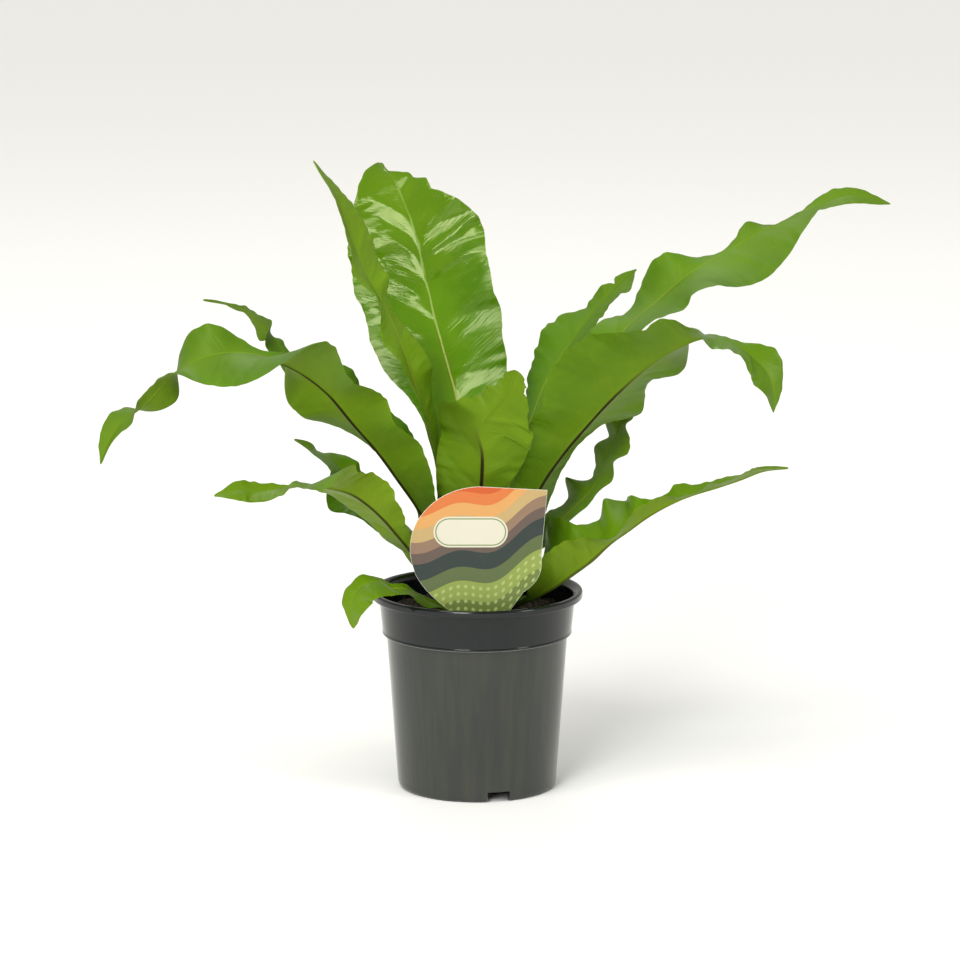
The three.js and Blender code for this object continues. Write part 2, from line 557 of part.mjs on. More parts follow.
function potProfile() {
  const { height, rimRadius, rimBand, stepHeight, footFillet, footHeight, wall } = pot;
  const { edge, floorBevel, centreFootRadius } = pot;
  const lip = height - rimBand;
  const floorTop = footHeight + wall;
  const outside = [];
  for (let k = 0; k <= 3; k++) {
    const turn = (k / 3) * (Math.PI / 2);
    const radius = wallRadius(footFillet) - footFillet * (1 - Math.sin(turn));
    outside.push([radius, footFillet * (1 - Math.cos(turn))]);
  }
  outside.push([wallRadius(stepHeight - edge), stepHeight - edge]);
  outside.push([wallRadius(stepHeight), stepHeight]);
  outside.push([wallRadius(lip - edge), lip - edge]);
  outside.push([rimRadius - edge, lip]);
  outside.push([rimRadius, lip + edge]);
  outside.push([rimRadius, height - edge]);
  outside.push([rimRadius - edge, height]);
  const inside = [
    [rimRadius - pot.rimInset, height],
    [wallRadius(lip) - wall, lip + pot.rimInset],
    [wallRadius(stepHeight) - wall, stepHeight + edge],
    [wallRadius(stepHeight - edge) - wall, stepHeight - edge],
    [wallRadius(floorTop) - wall - floorBevel, floorTop + floorBevel],
    [wallRadius(floorTop) - wall - 2 * floorBevel, floorTop],
    [centreFootRadius + pot.centreFootSlope, floorTop],
    [centreFootRadius, wall],
    [0, wall],
  ];
  const underside = [
    [0, 0],
    [centreFootRadius, 0],
    [centreFootRadius + pot.centreFootSlope, footHeight],
    [wallRadius(footHeight) - footFillet, footHeight],
    [wallRadius(0) - footFillet - pot.footInset, 0],
  ];
  return [...underside, ...outside, ...inside];
}

function makePot() {
  let solid = solidFrom(lathe(potProfile(), pot.segments));
  for (let k = 0; k < pot.notchCount; k++) {
    const azimuth = THREE.MathUtils.degToRad(pot.notchAzimuth) + (k * 2 * Math.PI) / pot.notchCount;
    const notch = new THREE.BoxGeometry(pot.notchDepth, pot.notchWidth, 2 * pot.notchHeight);
    notch.translate(pot.footRadius, 0, 0);
    notch.rotateZ(azimuth);
    solid = solid.subtract(solidFrom(notch));
  }
  for (let k = 0; k < pot.drainCount; k++) {
    const azimuth = (k * 2 * Math.PI) / pot.drainCount;
    const { drainRadius, drainDepth, drainSegments } = pot;
    const hole = new THREE.CylinderGeometry(drainRadius, drainRadius, drainDepth, drainSegments);
    hole.rotateX(Math.PI / 2);
    hole.translate(pot.drainCircle, 0, pot.footHeight + pot.wall / 2);
    hole.rotateZ(azimuth);
    solid = solid.subtract(solidFrom(hole));
  }
  return solid;
}

// ---- Soil, crown and label ----------------------------------------------------------------------

// Height of the soil's uneven top.
function soilTop(x, y) {
  const edge = wallRadius(soil.level);
  const share = Math.min(1, Math.hypot(x, y) / edge);
  const [a, b, c, d] = soil.lumpTurns;
  const lumps = Math.sin(a * x + 1) * Math.cos(b * y) + Math.sin(c * x - d * y) / 2;
  return soil.level + soil.mound * (1 - share * share) + soil.lump * lumps;
}

function makeSoil(hollows) {
  const { wallGap } = soil;
  const { stepHeight, edge, floorBevel, centreFootRadius, centreFootSlope } = pot;
  const inner = (height) => wallRadius(height) - pot.wall - wallGap;
  const floor = pot.footHeight + pot.wall + clearance;
  const topEdge = inner(soil.level);
  const profile = [
    [0, pot.wall + clearance],
    [centreFootRadius - wallGap, pot.wall + clearance],
    [centreFootRadius + centreFootSlope - wallGap, floor],
    [inner(floor) - 2 * floorBevel, floor],
    [inner(floor + floorBevel) - floorBevel, floor + floorBevel],
    [inner(stepHeight - edge), stepHeight - edge / 2],
    [inner(stepHeight), stepHeight + 3 * edge],
    [topEdge, soil.level],
    ...soil.rings.map((share) => [topEdge * share, soil.level]),
  ];
  const geometry = lathe(profile, pot.segments);
  const position = geometry.attributes.position;
  for (let i = 0; i < position.count; i++) {
    if (position.getZ(i) === soil.level) {
      position.setZ(i, soilTop(position.getX(i), position.getY(i)));
    }
  }
  let solid = solidFrom(geometry);
  for (const hollow of hollows) solid = solid.subtract(hollow);
  return largestBody(solid);
}

function crownGeometry(extra) {
  const profile = crown.profile.map(([share, height]) => {
    const radius = share === 0 ? 0 : crown.radius * share + extra;
    if (height === crown.root) return [radius, height - extra];
    if (height === crown.top) return [radius, height + extra];
    return [radius, height];
  });
  return lathe(profile, crown.segments);
}

// Outline of the label's face and stake: x to the right, y up from the ground.
function labelShape() {
  const shape = new THREE.Shape();
  shape.moveTo(2.5, label.bottom);
  shape.lineTo(5.5, label.bottom + 12);
  shape.lineTo(6, 92);
  shape.quadraticCurveTo(10, 100, 19.5, 113);
  shape.lineTo(26, 122);
  shape.quadraticCurveTo(35, 128, 36, 136);
  shape.lineTo(36.4, 147);
  shape.lineTo(39.3, 180.4);
  shape.lineTo(0.6, 182.4);
  shape.quadraticCurveTo(-22, 181, -33.5, 162.7);
  shape.quadraticCurveTo(-40, 150, -35.8, 136.4);
  shape.quadraticCurveTo(-33, 125, -17.4, 113);
  shape.quadraticCurveTo(-3, 101, -1, 92);
  shape.lineTo(-0.5, label.bottom + 12);
  shape.closePath();
  return shape;
}

function labelGeometry(extra) {
  const geometry = new THREE.ExtrudeGeometry(labelShape(), {
    depth: label.thickness + 2 * extra,
    bevelEnabled: false,
    curveSegments: 6,
  });
  geometry.rotateX(Math.PI / 2);
  geometry.translate(0, label.offset + label.thickness / 2 + extra, 0);
  return geometry;
}

// ---- Assembly -----------------------------------------------------------------------------------

const finish = {
  pot: new THREE.MeshStandardMaterial({ color: "#3b4140", roughness: 0.35, metalness: 0 }),
  soil: new THREE.MeshStandardMaterial({ color: "#2a2018", roughness: 0.95, metalness: 0 }),
  crown: new THREE.MeshStandardMaterial({ color: "#4a3a20", roughness: 0.9, metalness: 0 }),
  frond: new THREE.MeshStandardMaterial({ color: "#5c9a1e", roughness: 0.45, metalness: 0 }),
  label: new THREE.MeshStandardMaterial({ color: "#e08a48", roughness: 0.4, metalness: 0 }),
};

const group = new THREE.Group();

function addPiece(name, geometry, material) {
  const mesh = new THREE.Mesh(geometry, material);
  mesh.name = name;
  group.add(mesh);
}

for (const [name, frond] of Object.entries(fronds)) {
  addPiece(name, bladeGeometry(frond), finish.frond);
}

// Each frond's base sits in a plain socket in the crown, and the crown and the stake in the soil.
const socketEnd = 0.3; // share of the frond's length that the socket's cutter covers
const sockets = Object.values(fronds).map((f) => solidFrom(bladeGeometry(f, clearance, socketEnd)));
const crownSolid = sockets.reduce((solid, socket) => solid.subtract(socket), solidFrom(crownGeometry(0)));
const stakeSpace = solidFrom(labelGeometry(clearance));

addPiece("crown", geometryFrom(largestBody(crownSolid)), finish.crown);
addPiece("pot", geometryFrom(makePot()), finish.pot);
const soilHollows = [solidFrom(crownGeometry(clearance)), stakeSpace, ...sockets];
addPiece("soil", geometryFrom(makeSoil(soilHollows)), finish.soil);
addPiece("label", labelGeometry(0), finish.label);

export default group;
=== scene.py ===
import math
import random

import bmesh
import bpy
import numpy as np
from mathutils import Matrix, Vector, noise


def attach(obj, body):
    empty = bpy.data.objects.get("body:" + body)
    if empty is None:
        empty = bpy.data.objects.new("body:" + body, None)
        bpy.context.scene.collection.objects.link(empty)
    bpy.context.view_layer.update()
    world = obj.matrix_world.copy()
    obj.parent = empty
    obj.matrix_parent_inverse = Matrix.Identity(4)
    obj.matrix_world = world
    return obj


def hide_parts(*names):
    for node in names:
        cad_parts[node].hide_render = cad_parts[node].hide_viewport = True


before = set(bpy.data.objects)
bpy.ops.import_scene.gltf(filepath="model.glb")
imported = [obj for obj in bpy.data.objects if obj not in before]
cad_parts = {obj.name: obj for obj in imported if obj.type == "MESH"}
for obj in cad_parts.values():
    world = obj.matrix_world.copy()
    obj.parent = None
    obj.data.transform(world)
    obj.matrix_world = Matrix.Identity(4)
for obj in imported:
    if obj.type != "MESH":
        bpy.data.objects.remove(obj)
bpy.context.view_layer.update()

mm = 0.001  # shapes are given in millimetres; Blender, patterns and scattered bits work in metres
body = "root"  # the plant, its soil and its pot stand still on one body
print("frame loaded:", len(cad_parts), "solids")


# small helpers: colours, objects and shader nodes

def paint(code):
    parts = [int(code[k:k + 2], 16) / 255 for k in (0, 2, 4)]
    return (*[p / 12.92 if p <= 0.04045 else ((p + 0.055) / 1.055) ** 2.4 for p in parts], 1)


def linkObject(name, data):
    made = bpy.data.objects.new(name, data)
    bpy.context.scene.collection.objects.link(made)
    return made


def newMaterial(name):
    material = bpy.data.materials.new(name)
    material.use_nodes = True
    tree = material.node_tree
    return material, tree, tree.nodes["Principled BSDF"]


def feed(tree, node, inputs):
    # each input gets a link or a fixed value
    for name, value in inputs.items():
        if isinstance(value, bpy.types.NodeSocket):
            tree.links.new(value, node.inputs[name])
        else:
            node.inputs[name].default_value = value
    return node


def addNode(tree, kind, inputs=None, **settings):
    node = tree.nodes.new(kind)
    for name, value in settings.items():
        setattr(node, name, value)
    return feed(tree, node, inputs or {})


def output(tree, kind, inputs=None, **settings):
    return addNode(tree, kind, inputs, **settings).outputs[0]


def calc(tree, operation, *values):
    return output(tree, "ShaderNodeMath", dict(enumerate(values)), operation=operation)


def times(tree, first, second):
    return calc(tree, "MULTIPLY", first, second)


def plus(tree, first, second):
    return calc(tree, "ADD", first, second)


def minus(tree, first, second):
    return calc(tree, "SUBTRACT", first, second)


def vector(tree, x, y, z):
    return output(tree, "ShaderNodeCombineXYZ", {0: x, 1: y, 2: z})


def vectorMath(tree, operation, first, second):
    return output(tree, "ShaderNodeVectorMath", {0: first, 1: second}, operation=operation)


def split(tree, source):
    return addNode(tree, "ShaderNodeSeparateXYZ", {0: source}).outputs


def fade(tree, value, low, high):
    # rises smoothly from 0 at low to 1 at high, which may be the smaller one
    inputs = {0: value, 1: low, 2: high, 3: 0.0, 4: 1.0}
    return output(tree, "ShaderNodeMapRange", inputs, interpolation_type="SMOOTHSTEP")


def tone(tree, share, first, second):
    first, second = [paint(c) if isinstance(c, str) else c for c in (first, second)]
    inputs = {0: share, 6: first, 7: second}
    return addNode(tree, "ShaderNodeMix", inputs, data_type="RGBA").outputs[2]


def overlay(tree, colour, value, layer, other):
    # lays another colour on: layer is where the fade starts and ends, and its full share
    low, high, share = layer
    return tone(tree, times(tree, fade(tree, value, low, high), share), colour, other)


def speckle(tree, point, scale, detail=2.0, roughness=0.5):
    inputs = {"Vector": point, "Scale": scale, "Detail": detail, "Roughness": roughness}
    return output(tree, "ShaderNodeTexNoise", inputs)


def bump(tree, height, strength, depth):
    return output(tree, "ShaderNodeBump", {"Height": height, "Strength": strength, "Distance": depth})


def objectPoint(tree):
    return addNode(tree, "ShaderNodeTexCoord").outputs["Object"]


def bladeValue(tree, name, kind):
    return addNode(tree, "ShaderNodeAttribute", attribute_name=name).outputs[kind]


def newGroup(name, inputs, outputs, kind="ShaderNodeTree"):
    group = bpy.data.node_groups.new(name, kind)
    for title, (socketType, value) in inputs.items():
        socket = group.interface.new_socket(name=title, in_out="INPUT", socket_type="NodeSocket" + socketType)
        if value is not None:
            socket.default_value = value
    for title, socketType in outputs.items():
        group.interface.new_socket(name=title, in_out="OUTPUT", socket_type="NodeSocket" + socketType)
    return group, group.nodes.new("NodeGroupInput").outputs, group.nodes.new("NodeGroupOutput")


def placeGroup(tree, group, **inputs):
    return addNode(tree, "ShaderNodeGroup", inputs, node_tree=group).outputs


def grainOver(tree, grainGroup, look):
    # the piece's own point and the shared grain at it
    point = objectPoint(tree)
    return point, placeGroup(tree, grainGroup, Point=point, Scale=look["grainScale"], Dust=look["grainDust"])


def finishShader(tree, shader, look, colour, rough, height):
    feed(tree, shader, {
        "Base Color": colour, "Roughness": rough, "Specular IOR Level": look["specular"],
        "Normal": bump(tree, height, look["reliefStrength"], look["reliefDepth"]),
    })


studio = {
    "cameraPlace": (0.0017, -3.1996, 0.8222),
    "cameraTilt": 78.6,  # degrees up from looking straight down
    "lens": 216.3, "nearest": 0.1, "farthest": 200,
    "floorSize": 60.0, "floorColour": "FAFAF8", "floorRoughness": 0.9,
    "skyColour": "FFFDF8", "skyStrength": 0.5,
    # place, aim, strength, spread in degrees, colour
    "sun": ((-1.1, -1.7, 3.0), (0, 0, 0), 1.4, 30, "FFFDF8"),
    # name: place, aim, size across and up, power
    "lamps": {
        "lampFront": ((-0.7, -2.2, 1.12), (0, 0, 0.25), 0.75, 1.25, 36),
        "lampRight": ((2.0, -1.3, 1.0), (0, 0, 0.2), 0.6, 1.5, 14),
        "lampBehind": ((-0.2, 1.3, 1.8), (0, 0, 0.25), 1.2, 0.8, 9),
    },
}


def makeLamp(name, kind, spot, target, **settings):
    lamp = bpy.data.lights.new(name, kind)
    for setting, value in settings.items():
        setattr(lamp, setting, value)
    stand = linkObject(name, lamp)
    stand.location = spot
    stand.rotation_euler = (Vector(target) - Vector(spot)).to_track_quat("-Z", "Y").to_euler()


def makeStudio():
    camera = linkObject("camera", bpy.data.cameras.new("camera"))
    camera.data.lens = studio["lens"]
    camera.data.clip_start, camera.data.clip_end = studio["nearest"], studio["farthest"]
    camera.location = studio["cameraPlace"]
    camera.rotation_euler = (math.radians(studio["cameraTilt"]), 0, 0)
    bpy.context.scene.camera = camera
    for name, (spot, target, across, high, power) in studio["lamps"].items():
        makeLamp(name, "AREA", spot, target, shape="RECTANGLE", size=across, size_y=high, energy=power)
    spot, target, strength, spread, colour = studio["sun"]
    spread, colour = math.radians(spread), paint(colour)[:3]
    makeLamp("sunKey", "SUN", spot, target, energy=strength, angle=spread, color=colour)
    world = bpy.data.worlds.new("studioSky")
    bpy.context.scene.world = world
    world.use_nodes = True
    sky = {"Color": paint(studio["skyColour"]), "Strength": studio["skyStrength"]}
    feed(world.node_tree, world.node_tree.nodes["Background"], sky)
    half = studio["floorSize"] / 2
    corners = [(-half, -half, 0), (half, -half, 0), (half, half, 0), (-half, half, 0)]
    floorMesh = bpy.data.meshes.new("studioFloor")
    floorMesh.from_pydata(corners, [], [(0, 1, 2, 3)])
    material, tree, shader = newMaterial("paleFloor")
    feed(tree, shader, {"Base Color": paint(studio["floorColour"]), "Roughness": studio["floorRoughness"]})
    floorMesh.materials.append(material)
    floor = linkObject("studioFloor", floorMesh)
    bpy.context.scene.view_settings.view_transform = "Standard"
    print("studio:", len(studio["lamps"]) + 1, "lamps")


# fine unevenness with sparse dust, for moulded plastic, card, peat and rootstock
grain = {
    "fine": (3.0, 0.6), "cloud": (3.0, 0.55),  # detail and roughness of the noise
    "cloudScale": 0.06, "speckScale": 2.2,  # shares of the grain's own scale
    "specks": (0.62, 0.72), "dusty": (0.4, 0.65),
}


def makeSurfaceGrain():
    inputs = {"Point": ("Vector", None), "Scale": ("Float", 400.0), "Dust": ("Float", 0.5)}
    outputs = {"Height": "Float", "Dust": "Float", "Cloud": "Float"}
    group, given, result = newGroup("surfaceGrain", inputs, outputs)
    point, scale = given["Point"], given["Scale"]
    cloud = speckle(group, point, times(group, scale, grain["cloudScale"]), *grain["cloud"])
    specks = speckle(group, point, times(group, scale, grain["speckScale"]), 1.0)
    dust = times(group, fade(group, specks, *grain["specks"]), fade(group, cloud, *grain["dusty"]))
    feed(group, result, {
        "Height": speckle(group, point, scale, *grain["fine"]),
        "Dust": times(group, dust, given["Dust"]),
        "Cloud": cloud,
    })
    return group


# side veins, which leave the midrib at a slant
veins = {
    "spacing": 0.0016, "slant": 0.5,
    "wanderScale": 45.0, "wander": 0.006,  # they drift along the blade, in metres
    "changeOutward": 45.0,  # how fast a vein changes on its way out
    "wave": (2.5, 0.6), "waveHeight": 4.0,
    "nearRib": (0.0008, 0.004),  # they begin this far from the midrib
    "patchScale": 60.0, "patches": (0.3, 0.6), "crests": (0.2, 1.0),
    "mottle": (90.0, 4.0, 0.6), "blotch": (16.0, 2.0, 0.5),
}


def makeLeafVeins():
    # Place is the distance from the midrib, the length along it and the share of the half width
    inputs = {
        "Place": ("Vector", None), "Point": ("Vector", None),
        "Spacing": ("Float", veins["spacing"]), "Slant": ("Float", veins["slant"]),
    }
    outputs = {"Height": "Float", "Vein": "Float", "Mottle": "Float", "Blotch": "Float"}
    group, given, result = newGroup("leafVeins", inputs, outputs)
    signed, along, _ = split(group, given["Place"])
    point, distance = given["Point"], calc(group, "ABSOLUTE", signed)
    wander = times(group, speckle(group, point, veins["wanderScale"]), veins["wander"])
    line = minus(group, plus(group, along, wander), times(group, distance, given["Slant"]))
    lengthwise = calc(group, "DIVIDE", line, given["Spacing"])
    grid = vector(group, lengthwise, times(group, distance, veins["changeOutward"]), 0.0)
    wave = speckle(group, grid, 1.0, *veins["wave"])
    wave = calc(group, "MULTIPLY_ADD", wave, veins["waveHeight"], -veins["waveHeight"] / 2)
    patches = fade(group, speckle(group, point, veins["patchScale"]), *veins["patches"])
    strength = times(group, fade(group, distance, *veins["nearRib"]), patches)
    feed(group, result, {
        "Height": times(group, wave, strength),
        "Vein": times(group, fade(group, wave, *veins["crests"]), strength),
        "Mottle": speckle(group, point, *veins["mottle"]),
        "Blotch": speckle(group, point, *veins["blotch"]),
    })
    return group


frondFinish = {
    "upper": {"deep": "245403", "bright": "407305", "young": "6A8C10", "roughness": 0.44},
    "under": {"deep": "315C05", "bright": "487007", "young": "728A1A", "roughness": 0.52},
    "paleRib": "98AE3C", "hairline": "6B4E16",  # midrib on the upper side
    "darkRib": "241A08", "strip": "74842A",  # midrib on the lower side
    # the dark green laid on toward the crown is painted shade, deep in the rosette where the fronds shade
    # each other
    "tip": "58720F", "margin": "7C7A20", "paintedShade": "1C4402", "stalk": "33240E",
    "shinySpecular": 0.4, "upperSpecular": 0.3, "underSpecular": 0.16, "sheenTint": "EDF2BC",
    "blotches": (0.3, 0.7), "youngShare": 0.7, "veinShare": 0.12,
    # start and end of each fade, then its full share
    "besideRib": (0.75, 0.0, 0.22), "mottled": (0.4, 0.75, 0.18), "towardTip": (0.6, 0.95, 0.45),
    "atMargin": (0.97, 1.0, 0.12), "shadeTowardCrown": (0.45, 0.08, 0.4), "atStalk": (0.1, 0.02, 1.0),
    "ribHalf": (0.0009, -0.0005),  # half width of the painted rib at the crown, and its change to the tip
    # fades across, in half widths of the rib, and along, in shares of the blade
    "paleWide": (1.2, 0.6), "paleLong": (0.95, 0.3), "paleShare": 0.6,
    "hairInner": (0.9, 1.2), "hairOuter": (1.9, 1.4), "hairLong": (0.72, 0.45),
    "stripWide": (1.1, 0.5), "stripLong": (0.85, 0.5),
    "darkWide": (1.7, 1.0), "darkLong": (0.72, 0.5), "darkReach": 0.5,
    "glossEffect": -0.26, "mottleRough": 0.16, "veinRough": 0.1,
    "ribRoughWide": (2.5, 0.5), "ribRough": 0.25,
    "mottleHeight": 0.8, "reliefStrength": 0.5, "reliefDepth": 0.00014,
}

frondDetail = {
    "rows": 230,  # steps from crown to tip
    "halfColumns": 16, "columnCrowding": 1.3,  # steps from midrib to margin, closer at the midrib
    "tangentStep": 0.002,
    "leafHalf": 0.26,  # half the blade's thickness
    "ribUpper": 0.3, "ribUnder": 1.25,  # how far the midrib stands out at the crown
    "ribHalfAtCrown": 1.7, "ribHalfAtTip": 0.5, "ribRoundness": 1.3, "ribThinning": 0.7, "upperRibFade": 1.5,
    "leastHalf": 0.8, "leastMargin": 0.6,  # half width before and after the unevenness
    "waves": (23.0, 13.7, 8.3, 5.9), "waveHeight": (0.3, 0.6), "waveStart": (0, 6.28),  # along the margin
    "nibble": 0.35, "flutter": 0.4,  # unevenness of the margin, in its width and out of its plane
    "nibbleWidth": 12, "flutterWidth": 14,  # full on blades with this half width or more
    "evenBase": 0.2, "raggedBase": 0.4, "raggedGrowth": 0.9,  # it grows from the crown to the tip
    "sag": 0.002,  # how much a half curves down, per millimetre of its width squared
    # creases: from the first one to past the tip, how far apart, how wide, high, slanted and sharp
    "creaseStart": 18.0, "creaseBeyond": 30, "creaseGap": (9, 26), "creaseWidth": (1.5, 5),
    "creaseHeight": (0.3, 1.3), "creaseSlant": (0.35, 0.9), "creaseSigns": (1, 1, -1), "creaseSharpness": 4,
    # where they flatten out: beside the midrib, at the margin, near the crown and near the tip
    "flatByRib": 7, "flatAtMargin": 0.55, "flatBase": (0.08, 0.15), "flatTip": 0.1,
    "roundTip": 0.03,  # share of the length over which the tip is rounded
    "tipLeast": 0.02,
    "dullMargin": 0.4, "dullCurve": 1.5,  # the lower part is duller toward its margins
    "dullUpTo": 0.75, "dullFade": 0.2,
}

# what a frond has where its own entry below says nothing
plainFrond = {"gloss": 0.35, "ragged": 1, "folds": None, "teeth": {}}

